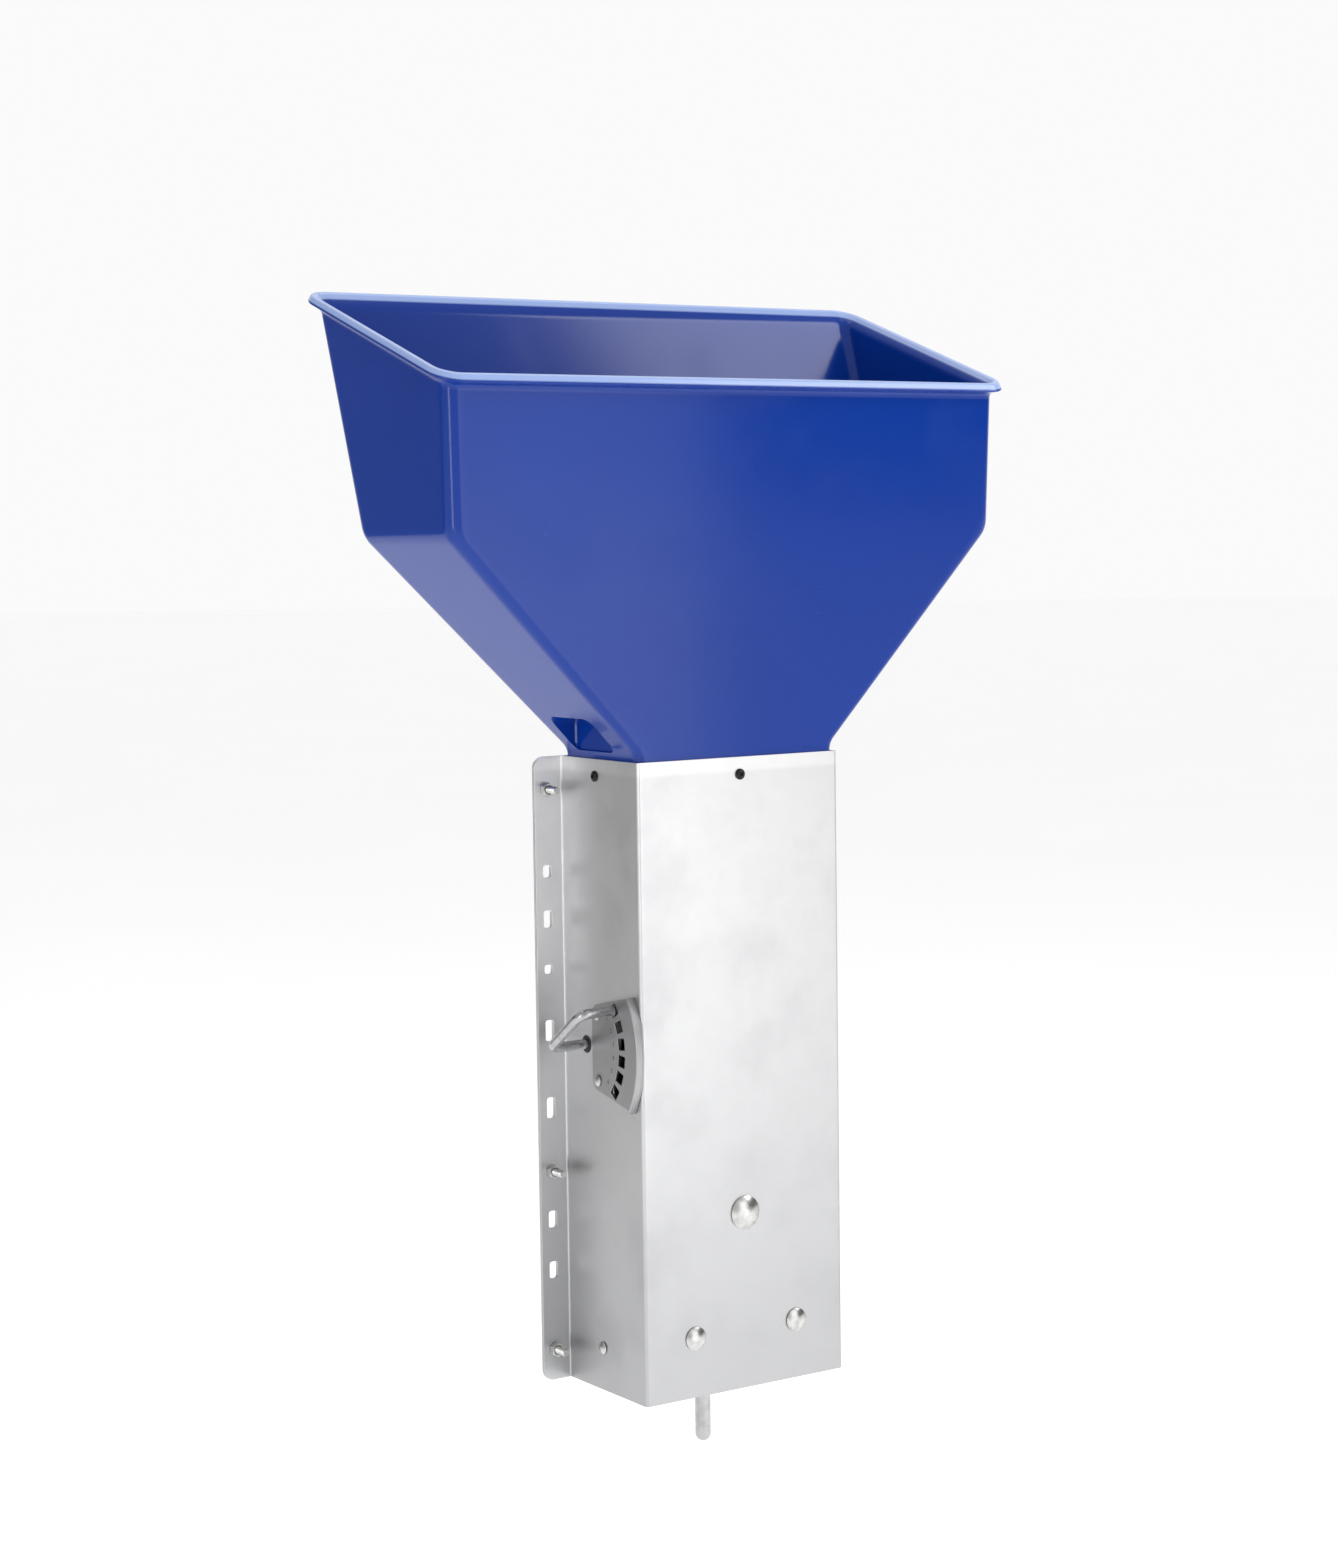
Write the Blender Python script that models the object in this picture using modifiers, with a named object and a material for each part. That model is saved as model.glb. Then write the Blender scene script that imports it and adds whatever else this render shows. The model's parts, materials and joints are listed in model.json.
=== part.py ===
"""Gravity feeder for a livestock pen: a moulded hopper that empties into a folded steel downpipe.

A gate turned by a cranked lever meters the feed, and a swinging trigger rod drops it off a ledge.
Metres, +X to the right, +Y to the rear, +Z up. The origin is the middle of the back plate's rear face.
"""

import math

import bmesh
import bpy
from mathutils import Matrix, Vector, geometry

# Downpipe, folded from one sheet, and its back plate
SHEET = 0.0015
PIPE_WIDTH = 0.190
PIPE_DEPTH = 0.110
PIPE_HEIGHT = 0.500
FLANGE_WIDTH = 0.025
FOLD_RADIUS = 0.003
PLATE_CORNER_RADIUS = 0.009
GAP = 0.0003
SIDE_FIXING_OFFSET = 0.006

# Flange fixings. Studs are placed by their heights above the downpipe's lower edge, and each slot's
# length is given against its distance from the nearer end
FIXING_OFFSET = 0.0145
STUD_HEIGHTS = {"upper": PIPE_HEIGHT - 0.026, "middle": 0.169, "lower": 0.025}
STUD_RADIUS = 0.003
STUD_HEAD_RADIUS = 0.0055
STUD_HEAD_THICKNESS = 0.0008
STUD_REACH = 0.018
STUD_NUT_FLATS = 0.010
STUD_NUT_HEIGHT = 0.005
SLOT_WIDTH = 0.0075
SLOTS_FROM_TOP = {0.091: 0.010, 0.129: 0.014, 0.169: 0.0075, 0.218: 0.017}
SLOTS_FROM_BOTTOM = {0.220: 0.017, 0.130: 0.014, 0.089: 0.014}

# Hopper
HOPPER_WALL = 0.004
NECK_CLEARANCE = 0.0005
NECK_INSERT = 0.038
NECK_RISE = 0.006
NECK_REAR_GAP = 0.003
SHOULDER_RISE = 0.174
SHOULDER_HALF_WIDTH = 0.255
SHOULDER_OVERHANG = 0.031
RIM_HALF_WIDTH = 0.258
RIM_OVERHANG = 0.0867
RIM_FRONT_RISE = 0.2945
RIM_SLOPE = 0.345
FRONT_LEAN = 0.0054
LIP_REACH = 0.010
LIP_RISE = 0.010
HOPPER_CORNER_RADIUS = 0.012
NECK_CORNER_RADIUS = 0.008
POCKET_WIDTH = 0.059
POCKET_HEIGHT = 0.027

# Screws that hold the hopper neck
NECK_SCREW_DROP = 0.0135
NECK_SCREW_DEPTH = PIPE_DEPTH / 2 + SIDE_FIXING_OFFSET
NECK_SCREW_RADIUS = 0.002
NECK_SCREW_HEAD_RADIUS = 0.0043
NECK_SCREW_HEAD_HEIGHT = 0.0022
NECK_SCREW_LENGTH = 0.007

# Metering gate, its lever and the index plate
GATE_SETBACK = 0.031
GATE_DEPTH = PIPE_DEPTH - GATE_SETBACK
GATE_HEIGHT = 0.274
GATE_FRONT_CLEARANCE = 0.0035
GATE_REAR_CLEARANCE = 0.009
GATE_REACH = GATE_DEPTH - SHEET - GATE_FRONT_CLEARANCE
GATE_TAIL = GATE_SETBACK - GATE_REAR_CLEARANCE
GATE_SIDE_CLEARANCE = 0.001
GATE_THICKNESS = 0.002
LEVER_RADIUS = 0.004
LEVER_FIT = 0.0003
SLEEVE_WALL = 0.0047
SLEEVE_RADIUS = LEVER_RADIUS + LEVER_FIT + SLEEVE_WALL
SLEEVE_END_CLEARANCE = 0.003
SLEEVE_START = 0.041
LEVER_STANDOFF = 0.033
LEVER_BEND = 0.008
LEVER_TAIL = 0.004
LEVER_PULL = 0.006
DRIVE_PIN_RADIUS = 0.0015
DRIVE_PIN_LENGTH = 2 * SLEEVE_RADIUS + 0.004
DRIVE_PIN_OFFSET = 0.040
INDEX_RADIUS = 0.054
INDEX_PLATE_RADIUS = 0.083
INDEX_PLATE_THICKNESS = 0.002
INDEX_HALF_ANGLE = 33.0
INDEX_LIP_WIDTH = 0.002
INDEX_LIP_HEIGHT = 0.005
INDEX_ARC_STEPS = 16
INDEX_HOLES = 6
INDEX_PITCH = 14.4
INDEX_SLOT_CLEARANCE = 0.0015
INDEX_CLEARANCE = 0.0006
INDEX_HOLE_SIZE = 2 * (LEVER_RADIUS + INDEX_CLEARANCE)
RIVET_FORWARD = 0.020
RIVET_RISE = 0.026
RIVET_LUG_RADIUS = 0.008
RIVET_RADIUS = 0.0022
RIVET_HEAD_RADIUS = 0.0045
RIVET_HEAD_HEIGHT = 0.0015
BUSH_WALL = 0.0022
BUSH_BARREL_RADIUS = LEVER_RADIUS + LEVER_FIT + BUSH_WALL
BUSH_FLANGE_RADIUS = BUSH_BARREL_RADIUS + 0.0035
BUSH_FLANGE_THICKNESS = 0.002
COLLAR_RADIUS = SLEEVE_RADIUS - 0.001
COLLAR_LENGTH = 0.008
SPRING_WIRE_RADIUS = 0.0006
SPRING_MEAN_RADIUS = LEVER_RADIUS + SPRING_WIRE_RADIUS + 0.0012
SPRING_TURNS = 5
SPRING_POINTS_PER_TURN = 10

# Trigger
TRIGGER_SETBACK = 0.048
TRIGGER_DEPTH = PIPE_DEPTH - TRIGGER_SETBACK
TRIGGER_HEIGHT = 0.1405
TRIGGER_BOLT_RADIUS = 0.00635
TRIGGER_HEAD_RADIUS = TRIGGER_BOLT_RADIUS + 0.00695
TRIGGER_HEAD_HEIGHT = 0.005
TRIGGER_NUT_FLATS = 2 * TRIGGER_BOLT_RADIUS + 0.0063
LOCK_NUT_HEIGHT = 0.008
END_NUT_HEIGHT = 0.010
SPACER_WALL = 0.00335
HANGER_LENGTH = 0.030
HANGER_WALL = 0.00435
HANGER_RADIUS = TRIGGER_BOLT_RADIUS + GAP + HANGER_WALL
HANGER_PLAY = 0.0006
HANGER_PIN_DROP = HANGER_RADIUS + 0.015
CHEEK_THICKNESS = 0.005
CHEEK_WIDTH = 0.018
TONGUE_THICKNESS = 0.007
TONGUE_CLEARANCE = 0.0005
TONGUE_RADIUS = 0.008
HANGER_PIN_RADIUS = 0.003
HANGER_PIN_HEAD_RADIUS = 0.005
HANGER_PIN_HEAD_HEIGHT = 0.0015
ROD_RADIUS = 0.00635
ROD_DROP_BELOW_PIPE = 0.058
ROD_SHOULDER = 0.012
WEB_OVERLAP = 0.004
SWEEPER_RADIUS = 0.032
SWEEPER_THICKNESS = 0.002
SWEEPER_LIFT = 0.010
SWEEPER_HUB_RADIUS = ROD_RADIUS + 0.00465
SWEEPER_HUB_HEIGHT = 0.012
SET_SCREW_RADIUS = 0.002
SET_SCREW_STANDOUT = 0.002

# Feed ledge and its bolts
LEDGE_HEIGHT = 0.058
LEDGE_SKIRT = 0.036
LEDGE_SLOT_WIDTH = 0.054
LEDGE_SLOT_DEPTH = 0.040
LEDGE_CORNER_RADIUS = 0.006
FRONT_BOLT_OFFSET = 0.0485
FRONT_BOLT_HEIGHT = 0.047
FRONT_BOLT_RADIUS = 0.004
FRONT_BOLT_HEAD_RADIUS = 0.0093
FRONT_BOLT_HEAD_HEIGHT = 0.0035
FRONT_NUT_FLATS = 0.0127
FRONT_NUT_HEIGHT = 0.0065
SIDE_BOLT_DEPTH = PIPE_DEPTH / 2 + SIDE_FIXING_OFFSET
SIDE_BOLT_HEIGHT = 0.034
SIDE_BOLT_RADIUS = 0.0025
SIDE_BOLT_HEAD_RADIUS = 0.005
SIDE_BOLT_HEAD_HEIGHT = 0.0025
SIDE_NUT_FLATS = 0.008
SIDE_NUT_HEIGHT = 0.004
HOLE_CLEARANCE = 0.0004
THREAD_OVERHANG = 0.003
ROUND_STEPS = 20
HOLE_STEPS = 16

# Planes that the pieces above share
FLANGE_FRONT = -2 * SHEET - GAP
FRONT = FLANGE_FRONT - PIPE_DEPTH
PLATE_FRONT = -SHEET
INNER_HALF_WIDTH = PIPE_WIDTH / 2 - SHEET
PLATE_HALF_WIDTH = PIPE_WIDTH / 2 + FLANGE_WIDTH
FIXING_X = PIPE_WIDTH / 2 + FIXING_OFFSET
TOP = PIPE_HEIGHT / 2
CUT_MARGIN = 0.010

# A turned piece or a hex nut is built along local +Z: these turn +Z to a world direction
TOWARDS = {
    "front": Matrix.Rotation(math.pi / 2, 4, "X"),
    "rear": Matrix.Rotation(-math.pi / 2, 4, "X"),
    "left": Matrix.Rotation(-math.pi / 2, 4, "Y"),
    "right": Matrix.Rotation(math.pi / 2, 4, "Y"),
}
SIDES = {"left": -1, "right": 1}


def clear_scene():
    for leftover in list(bpy.data.objects):
        bpy.data.objects.remove(leftover, do_unlink=True)


def make_collection(name, hidden=False):
    collection = bpy.data.collections.new(name)
    collection.hide_render = hidden
    bpy.context.scene.collection.children.link(collection)
    return collection


def make_material(name, colour, roughness, metallic=0.0):
    material = bpy.data.materials.new(name)
    material.use_nodes = True
    shader = material.node_tree.nodes["Principled BSDF"]
    shader.inputs["Base Color"].default_value = (*colour, 1.0)
    shader.inputs["Roughness"].default_value = roughness
    shader.inputs["Metallic"].default_value = metallic
    return material


def at_height(height):
    """World Z of a height above the downpipe's lower edge."""
    return height - PIPE_HEIGHT / 2


def at_depth(depth):
    """World Y of a depth behind the downpipe's front face."""
    return FRONT + depth


class Workshop:
    """Makes each object, names it and puts it in its collection."""

    def __init__(self):
        self.parts = make_collection("gravity_feeder")
        self.cutters = make_collection("cutters", hidden=True)

    def piece(self, name, mesh, material, matrix=None):
        made = bpy.data.objects.new(name, mesh)
        made.matrix_world = matrix or Matrix.Identity(4)
        mesh.materials.clear()
        mesh.materials.append(material)
        self.parts.objects.link(made)
        return made

    def tool(self, name, mesh, matrix=None):
        made = bpy.data.objects.new(name, mesh)
        made.matrix_world = matrix or Matrix.Identity(4)
        made.hide_render = True
        made.display_type = "WIRE"
        self.cutters.objects.link(made)
        return made


def finish_mesh(name, form):
    mesh = bpy.data.meshes.new(name)
    form.to_mesh(mesh)
    form.free()
    mesh.shade_smooth()
    mesh.set_sharp_from_angle(angle=math.radians(30))
    return mesh


def box_mesh(name, size, centre=(0, 0, 0), radius=0.0, along=2, steps=4):
    """A box whose four edges parallel to the axis numbered by along are rounded."""
    form = bmesh.new()
    bmesh.ops.create_cube(form, size=1.0)
    bmesh.ops.scale(form, vec=size, verts=form.verts)
    if radius:
        edges = [e for e in form.edges if abs((e.verts[0].co - e.verts[1].co)[along]) > size[along] / 2]
        bmesh.ops.bevel(form, geom=edges, offset=radius, segments=steps, profile=0.5, affect="EDGES")
    bmesh.ops.translate(form, vec=centre, verts=form.verts)
    return finish_mesh(name, form)


def prism_mesh(name, radius, length, sides=ROUND_STEPS):
    """A cylinder or a hexagonal prism standing on local Z = 0."""
    form = bmesh.new()
    bmesh.ops.create_cone(form, cap_ends=True, segments=sides, radius1=radius, radius2=radius, depth=length)
    bmesh.ops.translate(form, vec=(0, 0, length / 2), verts=form.verts)
    return finish_mesh(name, form)


def evaluated_mesh(made, name):
    bpy.context.view_layer.update()
    graph = bpy.context.evaluated_depsgraph_get()
    mesh = bpy.data.meshes.new_from_object(made.evaluated_get(graph))
    mesh.name = name
    return mesh


def ends_off_axis(profile):
    """True when a turned profile is a loop that does not touch its axis."""
    return all(radius > 0 for radius, _ in profile)


def turned_mesh(name, profile, steps=ROUND_STEPS):
    """Turns a profile of (radius, height) points, listed from the top down its outer side."""
    form = bmesh.new()
    verts = [form.verts.new((radius, 0, height)) for radius, height in profile]
    for first, second in zip(verts, verts[1:]):
        form.edges.new((first, second))
    if ends_off_axis(profile):
        form.edges.new((verts[-1], verts[0]))
    blank = bpy.data.meshes.new(name + "_profile")
    form.to_mesh(blank)
    form.free()
    lathe = bpy.data.objects.new(name + "_lathe", blank)
    bpy.context.scene.collection.objects.link(lathe)
    screw = lathe.modifiers.new("Turn", "SCREW")
    screw.steps = steps
    screw.render_steps = steps
    screw.use_merge_vertices = True
    screw.merge_threshold = 0.00001
    mesh = evaluated_mesh(lathe, name)
    bpy.data.objects.remove(lathe, do_unlink=True)
    mesh.shade_smooth()
    mesh.set_sharp_from_angle(angle=math.radians(30))
    return mesh


def dome_profile(radius, height, steps=3):
    """Points of a domed head, from its crown on the axis down to its edge at height 0."""
    sphere = (radius**2 + height**2) / (2 * height)
    reach = math.asin(radius / sphere)
    turns = [reach * step / steps for step in range(steps + 1)]
    return [(sphere * math.sin(turn), sphere * math.cos(turn) - sphere + height) for turn in turns]


def bolt_mesh(name, head_radius, head_height, shank_radius, length):
    """A domed bolt: its head stands on local Z = 0 and its shank runs down from there."""
    foot = [(shank_radius, 0), (shank_radius, -length), (0, -length)]
    return turned_mesh(name, dome_profile(head_radius, head_height) + foot)


def ring_mesh(name, inner, outer, length):
    """A bush or collar standing on local Z = 0."""
    return turned_mesh(name, [(inner, length), (outer, length), (outer, 0), (inner, 0)])


def nut_mesh(workshop, name, flats, height, bore, material):
    """A hexagonal nut standing on local Z = 0, with its bore cut."""
    blank = workshop.piece(name, prism_mesh(name, flats / math.sqrt(3), height, sides=6), material)
    bit = prism_mesh(name + "_bore", bore, height + 2 * CUT_MARGIN, HOLE_STEPS)
    tap = workshop.tool(name + "_bore", bit, Matrix.Translation((0, 0, -CUT_MARGIN)))
    cut(blank, tap)
    mesh = evaluated_mesh(blank, name)
    bpy.data.objects.remove(blank, do_unlink=True)
    bpy.data.objects.remove(tap, do_unlink=True)
    return mesh


def cut(made, tool, operation="DIFFERENCE"):
    boolean = made.modifiers.new(tool.name, "BOOLEAN")
    boolean.operation = operation
    boolean.solver = "MANIFOLD"
    boolean.object = tool


def drill(workshop, made, name, radius, centre, direction, length=CUT_MARGIN):
    """Cuts a round hole of a length centred on a point."""
    start = Matrix.Translation(centre) @ TOWARDS[direction] @ Matrix.Translation((0, 0, -length / 2))
    cut(made, workshop.tool(name, prism_mesh(name, radius, length, HOLE_STEPS), start))


def curve_mesh(name, spline_points, bevel=0.0, extrude=0.0):
    """A POLY curve made solid as a round rod, or as a flat outline when it has an extrusion."""
    curve = bpy.data.curves.new(name, "CURVE")
    curve.dimensions = "2D" if extrude else "3D"
    curve.fill_mode = "BOTH" if extrude else "FULL"
    curve.extrude = extrude
    curve.bevel_depth = bevel
    curve.bevel_resolution = 2
    curve.use_fill_caps = not extrude
    spline = curve.splines.new("POLY")
    spline.points.add(len(spline_points) - 1)
    for point, place in zip(spline.points, spline_points):
        point.co = (*place, 1.0)
    spline.use_cyclic_u = bool(extrude)
    made = bpy.data.objects.new(name, curve)
    bpy.context.scene.collection.objects.link(made)
    mesh = evaluated_mesh(made, name)
    bpy.data.objects.remove(made, do_unlink=True)
    form = bmesh.new()
    form.from_mesh(mesh)
    bmesh.ops.remove_doubles(form, verts=form.verts, dist=0.00001)
    bmesh.ops.recalc_face_normals(form, faces=form.faces)
    bpy.data.meshes.remove(mesh)
    return finish_mesh(name, form)


def rounded_path(corners, radius, steps=4):
    """The corner points with each inner corner replaced by an arc that touches both its lines."""
    path = [corners[0]]
    for before, corner, after in zip(corners, corners[1:], corners[2:]):
        inward = (before - corner).normalized()
        outward = (after - corner).normalized()
        half = inward.angle(outward) / 2
        centre = corner + (inward + outward).normalized() * radius / math.sin(half)
        start = corner + inward * radius / math.tan(half) - centre
        end = corner + outward * radius / math.tan(half) - centre
        turn = start.angle(end)
        for step in range(steps + 1):
            share = step / steps
            blend = start * math.sin((1 - share) * turn) + end * math.sin(share * turn)
            path.append(centre + blend / math.sin(turn))
    return path + [corners[-1]]


def loft_mesh(name, rings, closed):
    """A skin through rings of equal count. Rings rise and run from left to right along the front."""
    form = bmesh.new()
    rows = [[form.verts.new(point) for point in ring] for ring in rings]
    count = len(rows[0])
    for lower, upper in zip(rows, rows[1:]):
        for index in range(count if closed else count - 1):
            ahead = (index + 1) % count
            form.faces.new((lower[index], lower[ahead], upper[ahead], upper[index]))
    return finish_mesh(name, form)


def thicken(made, thickness):
    """Adds material behind an open skin."""
    solidify = made.modifiers.new("Wall", "SOLIDIFY")
    solidify.thickness = thickness
    solidify.offset = -1.0
    solidify.use_even_offset = True


def hang(axis, *pieces):
    """Parents pieces, and the tools that cut them, to the empty on their joint's axis."""
    for made in pieces:
        tools = [modifier.object for modifier in made.modifiers if modifier.type == "BOOLEAN"]
        for each in [made, *tools]:
            each.parent = axis
            each.matrix_parent_inverse = axis.matrix_world.inverted()


def make_axis(workshop, name, place):
    axis = bpy.data.objects.new(name, None)
    axis.location = place
    axis.empty_display_size = 0.02
    workshop.parts.objects.link(axis)
    bpy.context.view_layer.update()
    return axis


# Downpipe ---------------------------------------------------------------------


def front_section():
    """Outer skin of the hat section seen from above, from left to right, before its edges are trimmed."""
    half = PIPE_WIDTH / 2
    edge = PLATE_HALF_WIDTH + CUT_MARGIN
    corners = [(-edge, FLANGE_FRONT), (-half, FLANGE_FRONT), (-half, FRONT)]
    corners += [(half, FRONT), (half, FLANGE_FRONT), (edge, FLANGE_FRONT)]
    return rounded_path([Vector((x, y, 0)) for x, y in corners], FOLD_RADIUS)


def slot_lengths():
    """Each mounting slot's length against its height above the downpipe's lower edge."""
    upper = {PIPE_HEIGHT - drop: length for drop, length in SLOTS_FROM_TOP.items()}
    return upper | SLOTS_FROM_BOTTOM


def stud_hole_profile():
    """A stepped hole: a seat for the stud's head in the rear face, and a narrower hole ahead of it."""
    seat, hole = STUD_HEAD_RADIUS + GAP, STUD_RADIUS + HOLE_CLEARANCE
    depth = STUD_HEAD_THICKNESS + GAP
    profile = [(0, CUT_MARGIN), (hole, CUT_MARGIN), (hole, depth)]
    return profile + [(seat, depth), (seat, -CUT_MARGIN), (0, -CUT_MARGIN)]


def cut_flange_openings(workshop, made):
    for side, sign in SIDES.items():
        for label, height in STUD_HEIGHTS.items():
            name = f"{made.name}_{side}_{label}_stud_hole"
            place = Matrix.Translation((sign * FIXING_X, 0, at_height(height)))
            place = place @ TOWARDS["front"] @ Matrix.Rotation(math.pi / HOLE_STEPS, 4, "Z")
            cut(made, workshop.tool(name, turned_mesh(name, stud_hole_profile(), HOLE_STEPS), place))
        for height, length in slot_lengths().items():
            name = f"{made.name}_{side}_slot_{round(height * 1000)}"
            size = (SLOT_WIDTH, CUT_MARGIN, length)
            centre = (sign * FIXING_X, PLATE_FRONT, at_height(height))
            radius = min(SLOT_WIDTH, length) * 0.3
            cut(made, workshop.tool(name, box_mesh(name, size, centre, radius, along=1, steps=2)))


def make_front_shell(workshop, steel):
    section = front_section()
    reach = TOP + CUT_MARGIN
    rings = [[point + Vector((0, 0, end)) for point in section] for end in (-reach, reach)]
    shell = workshop.piece("front_shell", loft_mesh("front_shell", rings, closed=False), steel)
    thicken(shell, SHEET)
    blank_size = (2 * PLATE_HALF_WIDTH, 3 * PIPE_DEPTH, PIPE_HEIGHT)
    blank = box_mesh("flange_corners", blank_size, radius=PLATE_CORNER_RADIUS, along=1)
    cut(shell, workshop.tool("flange_corners", blank), "INTERSECT")
    cut_flange_openings(workshop, shell)
    return shell


def drill_front_shell(workshop, shell):
    """Holes for the neck screws, the lever, the trigger bolt and the ledge bolts."""
    neck_z = TOP - NECK_SCREW_DROP
    neck_hole = NECK_SCREW_RADIUS + HOLE_CLEARANCE
    side_hole = SIDE_BOLT_RADIUS + HOLE_CLEARANCE
    front_hole = FRONT_BOLT_RADIUS + HOLE_CLEARANCE
    trigger_hole = TRIGGER_BOLT_RADIUS + HOLE_CLEARANCE
    drill(workshop, shell, "front_neck_hole", neck_hole, (0, FRONT, neck_z), "front")
    drill(workshop, shell, "trigger_hole", trigger_hole, (0, FRONT, at_height(TRIGGER_HEIGHT)), "front")
    for side, sign in SIDES.items():
        wall = sign * PIPE_WIDTH / 2
        neck = (wall, at_depth(NECK_SCREW_DEPTH), neck_z)
        drill(workshop, shell, f"{side}_neck_hole", neck_hole, neck, side)
        gate = (wall, at_depth(GATE_DEPTH), at_height(GATE_HEIGHT))
        drill(workshop, shell, f"{side}_bush_hole", BUSH_BARREL_RADIUS + GAP, gate, side)
        ledge = (wall, at_depth(SIDE_BOLT_DEPTH), at_height(SIDE_BOLT_HEIGHT))
        drill(workshop, shell, f"{side}_ledge_hole", side_hole, ledge, side)
        front = (sign * FRONT_BOLT_OFFSET, FRONT, at_height(FRONT_BOLT_HEIGHT))
        drill(workshop, shell, f"{side}_front_hole", front_hole, front, "front")
    for label, sign in {"upper": 1, "lower": -1}.items():
        drill(workshop, shell, f"{label}_rivet_hole", RIVET_RADIUS + GAP, rivet_place(sign), "left")
    outline = [(*point, 0) for point in index_slot_outline()]
    slot = curve_mesh("index_slot", outline, extrude=CUT_MARGIN / 2)
    cut(shell, workshop.tool("index_slot", slot, index_matrix(0)))


def make_back_plate(workshop, steel):
    size = (2 * PLATE_HALF_WIDTH, SHEET, PIPE_HEIGHT)
    blank = box_mesh("back_plate", size, (0, -SHEET / 2, 0), PLATE_CORNER_RADIUS, along=1)
    plate = workshop.piece("back_plate", blank, steel)
    cut_flange_openings(workshop, plate)


def make_flange_fixings(workshop, zinc):
    """Studs set flush in the back plate, each with a nut in front of the flange."""
    tail = STUD_HEAD_THICKNESS + SHEET + STUD_REACH
    profile = [(0, tail), (STUD_RADIUS, tail), (STUD_RADIUS, STUD_HEAD_THICKNESS)]
    profile += [(STUD_HEAD_RADIUS, STUD_HEAD_THICKNESS), (STUD_HEAD_RADIUS, 0), (0, 0)]
    stud_mesh = turned_mesh("flange_stud", profile)
    bore = STUD_RADIUS + GAP
    hex_mesh = nut_mesh(workshop, "flange_nut", STUD_NUT_FLATS, STUD_NUT_HEIGHT, bore, zinc)
    for side, sign in SIDES.items():
        for label, height in STUD_HEIGHTS.items():
            rear = Matrix.Translation((sign * FIXING_X, -GAP / 3, at_height(height)))
            workshop.piece(f"flange_stud_{side}_{label}", stud_mesh, zinc, rear @ TOWARDS["front"])
            seat = Matrix.Translation((sign * FIXING_X, FLANGE_FRONT - GAP, at_height(height)))
            workshop.piece(f"flange_nut_{side}_{label}", hex_mesh, zinc, seat @ TOWARDS["front"])


# Hopper -----------------------------------------------------------------------


def rim_height(depth):
    """World Z of the rim's upper surface at a world Y."""
    return TOP + RIM_FRONT_RISE + (depth - FRONT) * RIM_SLOPE


def rounded_ring(half_width, front, back, radius, height, steps=4):
    """A rounded rectangle, anticlockwise from above. Height is a number or a function of world Y."""
    corners = [(-1, 1, 180), (1, 1, 270), (1, -1, 0), (-1, -1, 90)]
    ring = []
    for across, along, start in corners:
        x = across * (half_width - radius)
        y = front + radius if along > 0 else back - radius
        for step in range(steps + 1):
            turn = math.radians(start + 90 * step / steps)
            place = Vector((x + radius * math.cos(turn), y + radius * math.sin(turn), 0))
            place.z = height(place.y) if callable(height) else height
            ring.append(place)
    return ring


def hopper_rings():
    """Outer skin of the hopper, from the neck inside the downpipe up to the flared lip."""
    neck_half = INNER_HALF_WIDTH - NECK_CLEARANCE
    neck_front = FRONT + SHEET + NECK_CLEARANCE
    neck_back = PLATE_FRONT - NECK_REAR_GAP
    lean = FRONT_LEAN / RIM_FRONT_RISE
    shoulder_front = neck_front - lean * SHOULDER_RISE
    rim_front = neck_front - FRONT_LEAN
    rim_back = at_depth(PIPE_DEPTH + RIM_OVERHANG)
    shoulder_back = at_depth(PIPE_DEPTH + SHOULDER_OVERHANG)
    shoulder = TOP + SHOULDER_RISE
    radius = HOPPER_CORNER_RADIUS

    def lip_foot(y):
        return rim_height(y) - LIP_RISE

    lip = (RIM_HALF_WIDTH + LIP_REACH, rim_front - LIP_REACH, rim_back + LIP_REACH, radius + LIP_REACH)
    return [
        rounded_ring(neck_half, neck_front, neck_back, NECK_CORNER_RADIUS, TOP - NECK_INSERT),
        rounded_ring(neck_half, neck_front, neck_back, NECK_CORNER_RADIUS, TOP + NECK_RISE),
        rounded_ring(SHOULDER_HALF_WIDTH, shoulder_front, shoulder_back, radius, shoulder),
        rounded_ring(RIM_HALF_WIDTH, rim_front, rim_back, radius, lip_foot),
        rounded_ring(*lip, rim_height),
    ]


def add_screw_pocket(workshop, hopper, side, sign):
    """A flat-backed pocket at the foot of a sloping side, for a driver to reach the neck screw."""
    face = INNER_HALF_WIDTH - NECK_CLEARANCE
    slope = (SHOULDER_HALF_WIDTH - face) / (SHOULDER_RISE - NECK_RISE)
    foot = TOP + NECK_RISE
    inner = face - HOPPER_WALL + GAP
    rise = POCKET_HEIGHT + HOPPER_WALL
    start = (inner, foot - HOPPER_WALL / 2)
    outline = [start, (inner, foot + rise), (face - HOPPER_WALL / 2 + slope * rise, foot + rise)]
    wedge = [(sign * x, z, 0) for x, z in outline]
    middle = at_depth(NECK_SCREW_DEPTH)
    housing = curve_mesh(f"{side}_pocket_housing", wedge, extrude=POCKET_WIDTH / 2 + HOPPER_WALL)
    place = Matrix.Translation((0, middle, 0)) @ TOWARDS["front"]
    cut(hopper, workshop.tool(f"{side}_pocket_housing", housing, place), "UNION")
    reach = slope * POCKET_HEIGHT
    size = (2 * reach, POCKET_WIDTH, POCKET_HEIGHT)
    centre = (sign * (face + reach - GAP), middle, foot + POCKET_HEIGHT / 2 - GAP)
    pocket = box_mesh(f"{side}_pocket", size, centre, 2 * HOPPER_WALL, along=0, steps=3)
    cut(hopper, workshop.tool(f"{side}_pocket", pocket))


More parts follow.
